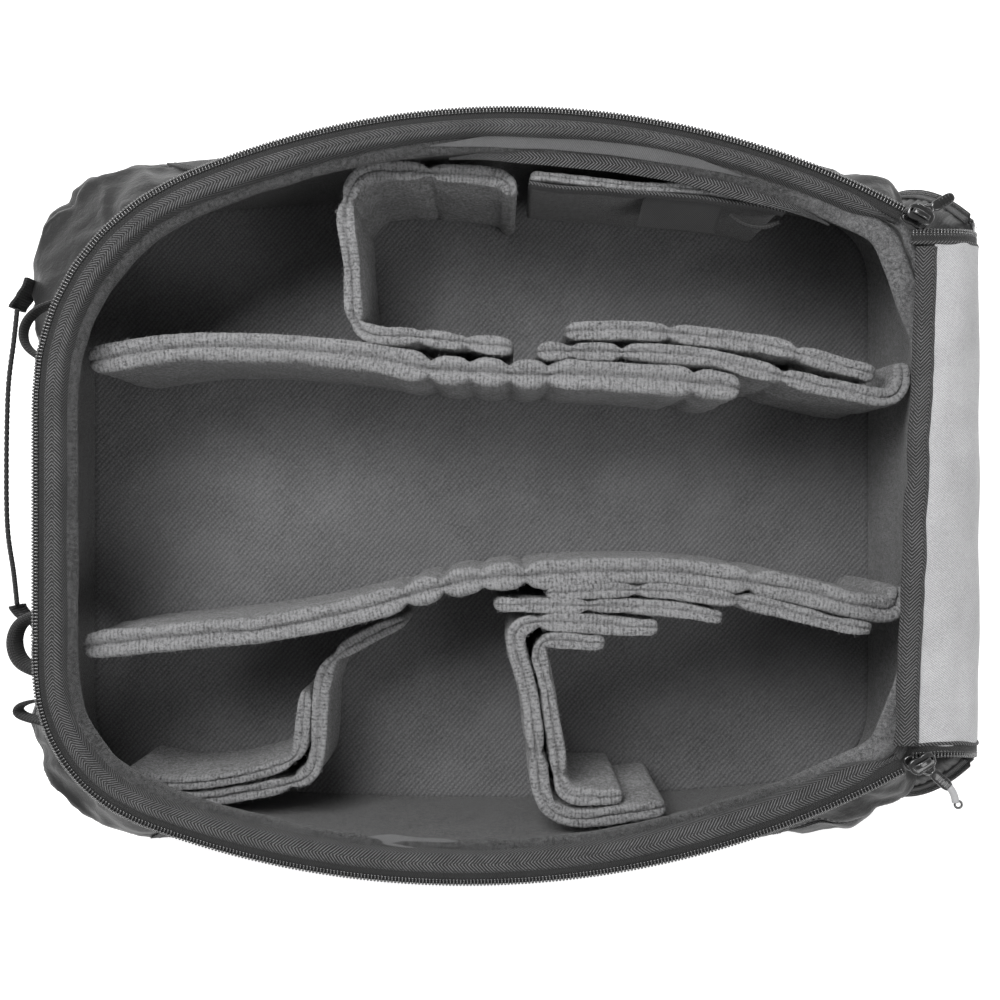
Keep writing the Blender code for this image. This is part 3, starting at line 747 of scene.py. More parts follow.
def soft(obj, held, pressure, growth, cap, outward=None):
    """Lists a mesh for the one simulation. Held vertices stay; the rest may move up to the cap."""
    SIMULATED.append((obj, held, pressure, growth, cap, outward))


def simulate(last_frame):
    """Inflates every listed mesh at once, caps how far its points moved, and bakes the result."""
    scene = bpy.context.scene
    for obj, held, pressure, growth, _, _ in SIMULATED:
        group = obj.vertex_groups.new(name="held")
        group.add([int(index) for index in np.flatnonzero(held)], 1.0, "REPLACE")
        cloth = obj.modifiers.new("Cloth", "CLOTH")
        settings = cloth.settings
        for key, value in CLOTH.items():
            setattr(settings, key, value)
        settings.use_pressure = pressure != 0.0
        settings.uniform_pressure_force = pressure
        settings.shrink_min = -growth
        settings.vertex_group_mass = "held"
        settings.effector_weights.gravity = 0.0
        cloth.point_cache.frame_start = 1
        cloth.point_cache.frame_end = last_frame
    scene.frame_start = 1
    scene.frame_end = last_frame
    for number in range(1, last_frame + 1):
        scene.frame_set(number)
    graph = bpy.context.evaluated_depsgraph_get()
    for obj, held, _, _, cap, outward in SIMULATED:
        rest = points_of(obj)
        evaluated = obj.evaluated_get(graph)
        moved = np.empty(len(rest) * 3)
        evaluated.data.vertices.foreach_get("co", moved)
        shift = moved.reshape(-1, 3) - rest
        size = np.linalg.norm(shift, axis=1, keepdims=True)
        shift *= cap * np.tanh(size / cap) / np.maximum(size, 1e-9)
        if outward is not None:
            inward = np.minimum((shift * outward).sum(axis=1, keepdims=True), 0.0)
            shift -= inward * outward * HOLD_OUT
        obj.modifiers.clear()
        obj.vertex_groups.clear()
        set_points(obj, rest + shift)
    scene.frame_set(1)
    SIMULATED.clear()


def keep(obj, body, slot, *nodes):
    """Rides the piece on its body and lets it stand for its CAD nodes; the slot is not used."""
    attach(obj, body)
    if nodes:
        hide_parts(*nodes)
    return obj


# ---- dividers ------------------------------------------------------------------------
FOAM_TO_TOP = 0.55          # the flat upper face of a CAD divider is this share of its thickness
LOBE_STEPS = 6
LOBE_REACH = 0.0105         # a crease pulls the fleece in over this length on each side
SIDE_ROWS = 16
WALL_STEP = 0.0018
CREASE_DIP = 0.0030         # and down by this much
BREADTH, SWELL = 0.94, 0.10         # share of the full width, and what it swells by between creases
END_BREADTH = 0.12
LEAN = 0.0012
RIPPLE = 0.0005

# shares of each divider's length where its foam is scored and the fleece pinches in
CREASES = {
    "upper_long_divider": (0.525, 0.585, 0.645, 0.705, 0.925),
    "lower_long_divider": (0.390, 0.435, 0.483, 0.533, 0.800),
    "upper_divider_flap": (0.085, 0.215, 0.62),
    "upper_divider_tail": (0.33, 0.74),
    "lower_divider_flap": (0.28, 0.58),
    "lower_divider_tail": (0.42,),
    "upper_cross_divider": (0.20, 0.40, 0.66, 0.80, 0.90),
    "lower_left_divider": (0.44, 0.80),
    "lower_left_lining": (0.70,),
    "lower_right_divider": (0.27, 0.60),
    "lower_right_lining": (0.24, 0.72),
}


def padded_section(half, top, bottom):
    """Half-widths and heights round a padded wall: up one side, over its two leaves and down."""
    lobe = half / 2
    shoulder = top - lobe * 1.1
    rise = np.linspace(0.0, 1.0, SIDE_ROWS) ** 0.75
    side = [(half, bottom + (shoulder - bottom) * share) for share in rise]
    points = list(side[:-1])
    for centre in (lobe, -lobe):
        for k in range(LOBE_STEPS + 1):
            if centre < 0 and k == 0:
                continue
            angle = math.pi * k / LOBE_STEPS
            points.append((centre + lobe * math.cos(angle), shoulder + lobe * 1.1 * math.sin(angle)))
    points.extend((-x, z) for x, z in reversed(side[:-1]))
    return np.array(points)


# how much thicker the soft fleece stands than the foam of each divider
NAP = {
    "upper_long_divider": 1.16,
    "lower_long_divider": 1.30,
    "lower_divider_flap": 1.22,
    "lower_divider_tail": 1.15,
}
OTHER_NAP = 1.14
NAP_DEPTH = 0.00030
FIBRES = 8000
FIBRE_HALF = 0.0013         # half the length of a loose fibre
FIBRE_RADIUS = 0.00010


def padded_wall(name, creases=(), corner=0.007, pinch=0.50):
    """A fleece-covered foam wall on a CAD divider's plan line, with a groove between its leaves."""
    line, face = ribbon(name, WALL_STEP)
    half = face / FOAM_TO_TOP / 2 * NAP.get(name, OTHER_NAP)
    low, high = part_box(name)[0].z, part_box(name)[1].z
    section = padded_section(half, high, low)
    along = lengths_along(line)
    total = along[-1]
    from_end = np.minimum(along, total - along)
    round_off = quarter_round(from_end, half)
    drop = corner * (1.0 - quarter_round(from_end, corner))
    gaps = np.min([np.abs(along - share * total) for share in (*creases, -9.0)], axis=0)
    nip = (1.0 - quarter_round(gaps, LOBE_REACH)) * (gaps < LOBE_REACH)
    normals = plan_normals(line)
    bulge = SWELL * np.sin(math.pi * np.clip(gaps / LOBE_REACH / 2, 0.0, 1.0))
    breadth = (BREADTH + bulge - pinch * nip) * np.maximum(round_off, END_BREADTH)
    shares = np.clip((section[:, 1] - low) / (high - low), 0.0, 1.0)
    lean = LEAN * wobble(line, 0.045, half * 1000)
    grid = np.empty((len(line), len(section), 3))
    for k, (offset, z) in enumerate(section):
        sway = lean * shares[k]
        grid[:, k, :2] = line + normals * (offset * breadth + sway)[:, None]
        ripple = RIPPLE * wobble(line, 0.016, 5.0 + offset)
        grid[:, k, 2] = z - (drop + CREASE_DIP * nip + ripple) * smoothstep((shares[k] - 0.5) * 2)
    round_it = section_lengths(section)
    uv = spread(along, round_it)
    obj = surface(name + "_pad", grid, uv, FLEECE, wrap=True, caps=True)
    columns = len(section)
    column = np.arange(len(obj.data.vertices)) % columns
    row = np.arange(len(obj.data.vertices)) // columns
    groove = SIDE_ROWS - 1 + LOBE_STEPS
    held = (column == groove) | (column == 0) | (column == columns - 1)
    held |= (row < 2) | (row > len(line) - 3)
    held |= np.repeat(nip > 0.7, columns)
    soft(obj, held, pressure=2.0, growth=0.02, cap=0.0009)
    return obj


def build_dividers():
    return [(padded_wall(name, creases), name) for name, creases in CREASES.items()]


def finish_dividers(made):
    for obj, name in made:
        subdivide(obj)
        points = points_of(obj)
        nap = wobble(points, 0.0021, 2.0) * NAP_DEPTH + wobble(points, 0.008, 6.0) * NAP_DEPTH
        set_points(obj, points + normals_of(obj) * nap[:, None])
        keep(obj, "bag", "grey_fleece", name)


def brushed_fibres(made):
    """Loose fibres of the brushed nap, standing along the upper edges of the dividers."""
    places, headings, ups = [], [], []
    total = sum(len(obj.data.vertices) for obj, _ in made)
    for obj, name in made:
        points, normals = points_of(obj), normals_of(obj)
        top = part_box(name)[1].z
        edge = np.flatnonzero((points[:, 2] > top - 0.010) & (normals[:, 2] > -0.1))
        chosen = rng.choice(edge, int(FIBRES * len(points) / total))
        normal = normals[chosen]
        lean = rng.normal(size=normal.shape) * 0.7
        heading = unit(normal + lean)
        places.append(points[chosen] + heading * 0.0004)
        headings.append(heading)
        ups.append(unit(np.cross(heading, rng.normal(size=normal.shape))))
    strand = bead_shape(FIBRE_HALF, FIBRE_RADIUS, 3, 3)
    strand[0][:, 2] += 0.00045 * np.cos(strand[0][:, 0] / FIBRE_HALF * 1.4)
    rows = [np.concatenate(values) for values in (places, headings, ups)]
    fibres = beads("fleece_fibres", *rows, strand, FLEECE)
    keep(fibres, "bag", "grey_fleece")


# ---- the wall of the bag -------------------------------------------------------------
ANGLES = 540
SEAM_HEIGHT = 0.098
BOARD_COVER = 0.0020        # the shell stands at least this far outside the base board
SHELL_SKIN = 0.0006
LINING_SKIN = 0.0010
HANDLE_CLEARANCE = 0.0008
DART_DEPTH, DART_RIDGE = 0.0028, 0.0016
SEAM_DEPTH = 0.0016
SHELL_SWELL = 0.0022
CRINKLE_DEPTHS = (0.0016, 0.0007)
FOLD_DEPTH = 0.0042
LINING_LUMPS = 0.0014


def polar_wall(tree, heights, inward, centre=WALL_CENTRE, rounds=5):
    """Radius of a wall at each height and bearing; inward finds its outer face."""
    bearings = np.linspace(0.0, math.tau, ANGLES, endpoint=False)
    radii = np.zeros((len(heights), ANGLES))
    for i, z in enumerate(heights):
        for k, bearing in enumerate(bearings):
            out = Vector((math.cos(bearing), math.sin(bearing), 0.0))
            middle = Vector((*centre, z))
            start = middle + out * RAY_REACH if inward else middle
            hit = tree.ray_cast(start, -out if inward else out)[0]
            radii[i, k] = (hit - middle).length if hit else np.nan
    for row in radii:
        bad = np.isnan(row)
        if bad.any() and not bad.all():
            row[bad] = np.interp(np.flatnonzero(bad), np.flatnonzero(~bad), row[~bad], period=ANGLES)
    return bearings, smooth_round(radii, rounds)


def smooth_round(radii, rounds):
    for _ in range(rounds):
        radii = 0.25 * np.roll(radii, 1, axis=1) + 0.5 * radii + 0.25 * np.roll(radii, -1, axis=1)
    return radii


def wall_points(bearings, radii, heights):
    """Points of a wall from its radius at each height and bearing."""
    x = WALL_CENTRE[0] + radii * np.cos(bearings)
    y = WALL_CENTRE[1] + radii * np.sin(bearings)
    return np.stack([x, y, np.broadcast_to(heights[:, None], x.shape)], axis=-1)


def ring_lengths(grid):
    """Metres round and up a wall grid, for its weave."""
    round_it = section_lengths(grid[len(grid) // 2])
    return spread(lengths_along(grid[:, 0]), round_it)[..., ::-1]


BOTTOM_RINGS = (0.02, 0.25, 0.5, 0.7, 0.85, 0.93, 0.98)
DARTS = (2.52, 2.80, 3.42, 3.66, 0.60, 0.73, 5.62, 5.76)        # bearings, in radians


def outer_shell():
    """The nylon tub: closed below, with a seam round its widest part and darts at its corners."""
    low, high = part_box("outer_shell")
    foot = np.linspace(low.z + 0.0008, 0.024, 6)
    heights = np.concatenate([foot, np.linspace(0.031, high.z - 0.0006, 40)])
    bearings, radii = polar_wall(tree_of("outer_shell"), heights, True)
    board_middle = sum(corner.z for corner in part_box("base_board")) / 2
    board = polar_wall(tree_of("base_board"), [board_middle], True, rounds=0)[1][0]
    beside_board = heights < 0.026
    radii[beside_board] = np.maximum(radii[beside_board], board + BOARD_COVER)
    bulk = smoothstep((heights - 0.020) / 0.02) * smoothstep((high.z - 0.002 - heights) / 0.012)
    for dart in DARTS:
        gap = (bearings - dart + math.pi) % math.tau - math.pi
        ridge = DART_RIDGE * hump(np.abs(gap), 0.06, 0.030)
        depth = DART_DEPTH * hump(gap, 0.0, 0.020) - ridge
        radii -= depth[None, :] * (smoothstep((heights - 0.06) / 0.04) * bulk)[:, None]
    radii -= SEAM_DEPTH * hump(heights, SEAM_HEIGHT, 0.0028)[:, None]
    wall = wall_points(bearings, radii, heights)
    rings = []
    for share in BOTTOM_RINGS:
        ring = wall[0].copy()
        ring[:, 0] = WALL_CENTRE[0] + (ring[:, 0] - WALL_CENTRE[0]) * share
        ring[:, 1] = WALL_CENTRE[1] + (ring[:, 1] - WALL_CENTRE[1]) * share
        ring[:, 2] = low.z + 0.0008 * share ** 8
        rings.append(ring)
    grid = np.concatenate([np.array(rings), wall])
    obj = surface("nylon_shell", grid, ring_lengths(grid), NYLON, wrap=True, caps=False)
    height = points_of(obj)[:, 2]
    bearing = np.tile(bearings, len(grid))
    held = (height < 0.020) | (height > high.z - 0.004) | (np.abs(height - SEAM_HEIGHT) < 0.0018)
    for dart in DARTS:
        gap = (bearing - dart + math.pi) % math.tau - math.pi
        held |= (np.abs(gap) < 0.007) & (height > 0.08)
    out = np.stack([np.cos(bearing), np.sin(bearing), np.zeros_like(bearing)], axis=1)
    soft(obj, held, pressure=1.2, growth=0.07, cap=0.006, outward=out)
    return obj


def clear_of_handle(points):
    """Holds the end wall back behind the carry handle, so that the handle can swing."""
    low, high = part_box("carry_handle")
    pivot = JOINTS["handle_swing"]["pos_m"]
    limit = pivot[0] + (high.z - low.z) / 2 + HANDLE_CLEARANCE
    off_height = smoothstep((np.abs(points[:, 2] - pivot[2]) - 0.007) / 0.018)
    off_length = smoothstep((np.abs(points[:, 1] - pivot[1]) - (high.y - low.y) / 2) / 0.02)
    limit = limit - 0.012 * off_height - 0.012 * off_length
    at_end = points[:, 0] < WALL_CENTRE[0]
    points[at_end, 0] = np.maximum(points[at_end, 0], limit[at_end])
    return points


def finish_shell(obj):
    subdivide(obj)
    points = points_of(obj)
    out = flat3(outwards(points))
    body = smoothstep((points[:, 2] - 0.018) / 0.02) * smoothstep((0.171 - points[:, 2]) / 0.01)
    wide, fine = CRINKLE_DEPTHS
    crinkle = np.abs(wobble(points, 0.022, 1.0)) * wide + np.abs(wobble(points, 0.009, 4.0)) * fine
    around = np.arctan2(points[:, 1], points[:, 0] - WALL_CENTRE[0]) * 0.25
    drape = np.column_stack([np.cos(around * 4) * 0.075, np.sin(around * 4) * 0.075, points[:, 2]])
    folds = np.abs(wobble(drape, 0.0155, 2.0)) ** 0.8 * FOLD_DEPTH
    swell = (SHELL_SWELL - crinkle - folds) * body
    set_points(obj, clear_of_handle(points + out * swell[:, None]))
    thicken(obj, SHELL_SKIN)
    keep(obj, "bag", "shell_nylon", "outer_shell")


# how far back and up each row of the lining's turned-over edge lies
LINING_RIM = ((0.0015, 0.0016), (0.004, 0.0024), (0.0075, 0.0022), (0.0105, 0.0008))


def inner_wall():
    """The fleece lining, dark on the long sides and grey at the hinge end, turned over at its top."""
    low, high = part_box("wall_lining")
    heights = np.concatenate([[low.z - 0.0015], np.linspace(low.z, high.z, 34)])
    inside_heights = np.clip(heights, low.z + 1e-4, high.z - 1e-4)
    bearings, radii = polar_wall(tree_of("wall_lining"), inside_heights, False)
    lump = smoothstep((heights - 0.035) / 0.02)[:, None]
    angle, level = np.meshgrid(bearings, heights)
    samples = np.stack([np.cos(angle) * 0.25, np.sin(angle) * 0.25, level], axis=-1).reshape(-1, 3)
    lumps = (LINING_LUMPS * np.abs(wobble(samples, 0.030, 3.0))).reshape(radii.shape)
    radii = radii - lumps * lump
    inside = wall_points(bearings, radii, heights)
    rim = []
    for back, rise in LINING_RIM:
        ring = inside[-1].copy()
        widen = 1.0 + 0.9 * smoothstep((ring[:, 0] - 0.170) / 0.025)
        ring[:, :2] += outwards(ring) * (back * widen)[:, None]
        ring[:, 2] += rise
        rim.append(ring)
    grid = np.concatenate([inside, np.array(rim)])
    obj = surface("fleece_wall", grid, ring_lengths(grid), WALL_FLEECE, wrap=True)
    subdivide(obj)
    thicken(obj, LINING_SKIN)
    pad_ends = ("side_pad", "corner_pad", "end_pad")
    pads = [name for name in frame["nodes"] if name.endswith(pad_ends)]
    keep(obj, "bag", "dark_fleece", "wall_lining", *pads)


def bay_floor():
    """The fleece floor, with a slight roll where the foam below is soft."""
    low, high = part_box("floor_lining")
    bearings, radii = polar_wall(tree_of("floor_lining"), np.array([(low.z + high.z) / 2]), True)
    rings = []
    for share in np.linspace(0.0, 1.0, 56)[1:]:
        x = WALL_CENTRE[0] + radii[0] * share * np.cos(bearings)
        y = WALL_CENTRE[1] + radii[0] * share * np.sin(bearings)
        flat = np.stack([x, y, np.zeros_like(x)], axis=1)
        lift = high.z + 0.0012 * wobble(flat, 0.060, 9.0) - 0.0004
        rings.append(np.column_stack([x, y, lift]))
    grid = np.array(rings)
    under = grid[-1:].copy()
    under[..., 2] = low.z
    grid = np.concatenate([grid, under])
    obj = surface("fleece_floor", grid, ring_lengths(grid), FLOOR_FLEECE, wrap=True, caps=True)
    keep(obj, "bag", "grey_fleece", "floor_lining", "floor_pad")


# ---- rim: teeth, tape and binding ----------------------------------------------------
def rim_line():
    """Middle of the zip chain in plan, from the hinge end round the upper side, and its normals."""
    line, _ = ribbon("zip_chain", 0.0020, start=np.array([0.21, 0.16]), rounds=10)
    out = plan_normals(line)
    middle = len(line) // 2
    if np.dot(out[middle], line[middle] - np.array(WALL_CENTRE)) < 0:
        out = -out
    return line, out


# inset and height of each row across the zip tape
TAPE_ROWS = (
    (-0.0020, 0.0002), (0.0005, 0.0002), (0.0030, 0.0004), (0.0048, 0.0006), (0.0056, 0.0002),
)
BINDING_START = 0.0040      # inset of the binding's outer edge
BINDING_REACH = 0.0162      # and of its inner edge
NARROWEST = 0.0050
END_DIP = 0.004             # the binding's ends tuck down by this much
RIM_STITCH_PITCH = 0.0028


def teeth_along(name, line, out, up):
    """Coil teeth on a 3-D line: each is a loop across the tape with a rounded head outside."""
    along = lengths_along(line)
    marks = np.arange(TOOTH_PITCH / 2, along[-1], TOOTH_PITCH)
    centre = read_at(marks, along, line)
    outward = unit(read_at(marks, along, out))
    upward = unit(read_at(marks, along, up))
    ahead = np.cross(upward, outward)
    parts = [
        ("", 0.0, 0.0, outward, bead_shape(0.0016, 0.00056)),
        ("_heads", 0.0012, 0.00012, outward, bead_shape(0.00080, 0.00078)),
        ("_back", -0.0012, 0.0002, ahead, bead_shape(0.00075, 0.00058, 3)),
    ]
    made = [
        beads(name + ending, centre + outward * shift + upward * lift, heading, upward, shape, COIL)
        for ending, shift, lift, heading, shape in parts
    ]
    return join(name, made)


def layer_along(name, line, out, insets, heights, thick, material):
    """A thin closed layer along the rim, from the plan inset and height of each row across it."""
    top = [
        np.column_stack([line - out * inset[:, None], height])
        for inset, height in zip(insets, heights)
    ]
    bottom = [row - np.array([0.0, 0.0, thick]) for row in top]
    grid = np.stack([*top, *bottom[::-1]], axis=1)
    uv = spread(lengths_along(line), section_lengths(grid[len(grid) // 2]))
    return surface(name, grid, uv, material, wrap=True, caps=True)


def rim_teeth(line, out):
    low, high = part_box("zip_chain")
    path = lifted(line + out * 0.0008, (low.z + high.z) / 2 + 0.0004)
    teeth = teeth_along("zip_teeth_bag", path, flat3(out), tiled(UPWARD, line))
    keep(teeth, "bag", "zip_teeth", "zip_chain")


def rim_tape(line, out):
    insets = [np.full(len(line), inset) for inset, _ in TAPE_ROWS]
    heights = [np.full(len(line), rim_base() + height) for _, height in TAPE_ROWS]
    tape = layer_along("zip_tape_bag", line, out, insets, heights, TAPE_THICK, TAPE)
    keep(tape, "bag", "zip_tape", "zip_tape")


def rim_base():
    """Height at which the tape and the binding lie on the rim."""
    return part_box("zip_tape")[0].z + 0.0004


def rim_binding(line, out):
    """The bound roll inside the tape: it varies in width, puckers and curls down at its edge."""
    base = rim_base()
    along = lengths_along(line)
    to_end = np.minimum(along, along[-1] - along)
    tuck = smoothstep(to_end / 0.030)
    flat = lifted(line, 0.0)
    wide = BINDING_REACH + 0.0013 * wobble(flat, 0.050, 11.0) - 0.0020 * hump(line[:, 0], -0.200, 0.045)
    wide = wide - 0.0026 * (line[:, 1] > 0.0) * smoothstep((line[:, 0] + 0.14) / 0.08)
    reach = NARROWEST + (wide - NARROWEST) * (0.30 + 0.70 * tuck)
    pucker = wobble(flat, 0.0075, 3.0) * 0.00045 + wobble(flat, 0.021, 5.0) * 0.00050

    insets, heights = [], []
    for share in np.linspace(0.0, 1.0, 18):
        crown = math.sin(math.pi * min(share / 0.80, 1.0)) ** 0.6 * 0.0017
        curl = 0.0068 * smoothstep((share - 0.72) / 0.28) ** 1.4
        seam = 0.0005 * float(hump(share, 0.46, 0.05))
        inward = share if share < 0.9 else 0.9 + (share - 0.9) * 0.5
        insets.append(BINDING_START + (reach - BINDING_START) * inward)
        wave = pucker * math.sin(math.pi * share) * 1.2
        heights.append(base + 0.0006 + crown - curl - seam + wave - END_DIP * (1 - tuck))
    roll = layer_along("rim_binding_roll", line, out, insets, heights, 0.0012, BINDING)
    keep(roll, "bag", "webbing", "rim_binding")

    rows = []
    for number, (share, z) in enumerate(((0.10, 0.0017), (0.46, 0.0018))):
        inset = BINDING_START + (reach - BINDING_START) * share
        height = base + z + pucker * math.sin(math.pi * share) * 1.2 - END_DIP * (1 - tuck)
        path = np.column_stack([line - out * inset[:, None], height])
        up = tiled(UPWARD, path)
        rows.append(stitches(f"rim_stitches_{number}", path, up, pitch=RIM_STITCH_PITCH))
    keep(join("rim_stitches", rows), "bag", "webbing")


# name, material, slot, side of the bag, span in X, inset, width and height above the rim
FACINGS = (
    ("upper_pale_strip", PALE_STRIP, "lid_twill", 1, (-0.040, 0.138), 0.0152, 0.0076, -0.0040),
    ("upper_twill_band", BINDING, "webbing", 1, (-0.030, 0.190), 0.0218, 0.0100, -0.0085),
    ("lower_pale_strip", PALE_STRIP, "lid_twill", -1, (-0.078, -0.018), 0.0182, 0.0065, -0.0060),
)


def side_facings(line, out):
    """Inside the tape: a pale strip and a twill band above, and a pale sliver below."""
    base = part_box("zip_tape")[0].z
    for name, material, slot, side, (x_low, x_high), inset, width, drop in FACINGS:
        chosen = (np.sign(line[:, 1]) == side) & (line[:, 0] > x_low) & (line[:, 0] < x_high)
        path, normal = line[chosen], out[chosen]
        share = np.linspace(0.0, 1.0, len(path))
        taper = smoothstep(np.minimum(share, 1.0 - share) * 3.4) ** 0.7
        sway = 0.0010 * wobble(lifted(path, 0.0), 0.03, 8.0)
        centre = path - normal * (inset + sway)[:, None]
        breadth = (0.12 + 0.88 * taper)[:, None, None]
        section = rounded_strip(1.0, TAPE_THICK / width)[None] * width * breadth
        up = tiled(UPWARD, path)
        tilt = unit(up * 0.93 - flat3(normal) * 0.36)
        lean = unit(flat3(normal) * 0.93 + up * 0.36)
        strip = sweep(name, lifted(centre, base + drop), lean, tilt, section, material)
        keep(strip, "bag", slot)


# ---- hinge end -----------------------------------------------------------------------
ROLL_CENTRE_X = 0.2360
STRIP_X, STRIP_SKEW = 0.2186, 0.0108        # the strip's middle at its low end, and its shift
STRIP_WIDTH = 0.0128
STRIP_CROWN = 0.0016
CLOTH_X, CLOTH_SKEW = 0.2246, 0.0092        # where the cloth comes out from under the strip
CLOTH_THICK = 0.0012
END_TURN = math.radians(118.0)
END_TAPE_WIDTH = 0.0062


def hinge_strip():
    """The bound strip of twill along the hinge, slightly askew, with wavy edges and a lapped join."""
    low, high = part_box("hinge_binding")
    y = np.arange(low.y - 0.004, high.y + 0.004, 0.0018)
    share = (y - low.y) / (high.y - low.y)
    spots = np.column_stack([y, y * 0, y * 0])
    wave = 0.0010 * wobble(spots, 0.022, 2.0)
    centre_x = STRIP_X + STRIP_SKEW * share + wave
    lap = smoothstep((y - 0.006) / 0.0015)
    breadth = STRIP_WIDTH + 0.0012 * wobble(spots, 0.012, 7.0) - 0.0010 * lap
    top = high.z - 0.0002 + 0.0006 * lap
    line = np.column_stack([centre_x, y, top - 0.0010])
    across = np.linspace(-0.5, 0.5, 13)
    crown = STRIP_CROWN * np.sqrt(np.clip(1.0 - (2 * across) ** 2, 0.0, 1.0))
    upper = np.column_stack([across, crown])
    lower = np.column_stack([across[::-1][1:-1], -crown[::-1][1:-1] * 0.7 - 0.0003])
    section = np.concatenate([upper, lower])
    sections = np.broadcast_to(section, (len(y), *section.shape)).copy()
    sections[..., 0] *= breadth[:, None]
    side = tiled([1.0, 0.0, 0.0], y)
    up = tiled(UPWARD, y)
    strip = sweep("hinge_binding_strip", line, side, up, sections, BINDING)
    keep(strip, "bag", "webbing", "hinge_binding")
    rows = []
    for number, edge in enumerate((-0.36, 0.36)):
        path = line.copy()
        path[:, 0] += breadth * edge
        path[:, 2] += 0.0013
        rows.append(stitches(f"hinge_stitches_{number}", path, up))
    keep(join("hinge_stitches", rows), "bag", "webbing")


def roll_geometry():
    """Centre and radius of the hinge cloth, from the two CAD folds."""
    web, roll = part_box("hinge_web"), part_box("lid_hinge_roll")
    radius = roll[1].x - ROLL_CENTRE_X
    centre = np.array([roll[1].x - radius, web[1].z - radius])
    return centre, radius


def hinge_cloth():
    """The lid's silver lining, rolled over the hinge from the bound strip to the hanging panel."""
    centre, radius = roll_geometry()
    low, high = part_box("hinge_web")
    y = np.linspace(low.y, high.y, 150)
    share = (y - low.y) / (high.y - low.y)
    start_x = CLOTH_X + CLOTH_SKEW * share
    start_angle = np.arccos(np.clip((start_x - centre[0]) / radius, -1.0, 1.0))
    end_angle = -0.03
    turn = np.linspace(0.0, 1.0, 44)
    angle = start_angle[:, None] + (end_angle - start_angle[:, None]) * turn[None, :]
    grid_y = np.broadcast_to(y[:, None], angle.shape)
    samples = np.stack([angle * 0.03, grid_y, np.zeros_like(angle)], axis=-1).reshape(-1, 3)
    sag = (0.0016 * wobble(samples * np.array([1.0, 0.35, 1.0]), 0.012, 5.0)).reshape(angle.shape)
    edge = np.minimum(share, 1.0 - share)[:, None]
    arch = np.sin(math.pi * turn)[None, :]
    sag = sag * arch + 0.0010 * arch * smoothstep(edge / 0.08)
    reach = radius + sag - 0.0006
    x = centre[0] + reach * np.cos(angle)
    grid = np.stack([x, grid_y, centre[1] + reach * np.sin(angle)], axis=-1)
    inner = grid.copy()
    inner[..., 0] -= CLOTH_THICK * np.cos(angle)
    inner[..., 2] -= CLOTH_THICK * np.sin(angle)
    ring = np.concatenate([grid, inner[:, ::-1]], axis=1)
    across = lengths_along(grid[len(grid) // 2])
    both = np.concatenate([across, across[-1] * 2 - across[::-1], [across[-1] * 2]])
    obj = surface("hinge_lining", ring, spread(y, both), TWILL, wrap=True, caps=True)
    subdivide(obj)
    blend_hinge(obj)
    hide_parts("hinge_web", "lid_hinge_roll")


def hinge_ends():
    """Tape, cord and teeth that run round each end of the hinge cloth."""
    centre, radius = roll_geometry()
    low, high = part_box("hinge_web")
    angles = np.linspace(END_TURN, -0.05, 60)
    pieces, rails = [], []
    for end, (edge_y, away) in enumerate(((high.y, 1.0), (low.y, -1.0))):
        sway = 0.0016 * np.sin(angles * 2.6 + end) if end else 0.0006 * np.sin(angles * 3.0)
        reach = radius - 0.0018
        arc = np.column_stack([
            centre[0] + reach * np.cos(angles),
            edge_y + away * (0.0012 + sway),
            centre[1] + reach * np.sin(angles),
        ])
        up = np.column_stack([np.cos(angles), np.zeros_like(angles), np.sin(angles)])
        side = tiled([0.0, away, 0.0], angles)
        tape_section = rounded_strip(END_TAPE_WIDTH, CLOTH_THICK)
        pieces.append(sweep(f"hinge_tape_{end}", arc, side, up, tape_section, TAPE))
        edge_line = arc - side * 0.0022 + up * 0.0006
        cord_section = circle_section(SEAM_CORD, 8)
        pieces.append(sweep(f"hinge_cord_{end}", edge_line, side, up, cord_section, BINDING))
        teeth_line = arc + side * 0.0034
        rails.append(teeth_along(f"hinge_teeth_{end}", teeth_line, side, up))
    tape = join("hinge_end_tape", pieces)
    teeth = join("hinge_end_teeth", rails)
    for obj, slot in ((tape, "zip_tape"), (teeth, "zip_teeth")):
        blend_hinge(obj)


def blend_hinge(obj):
    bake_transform(obj)


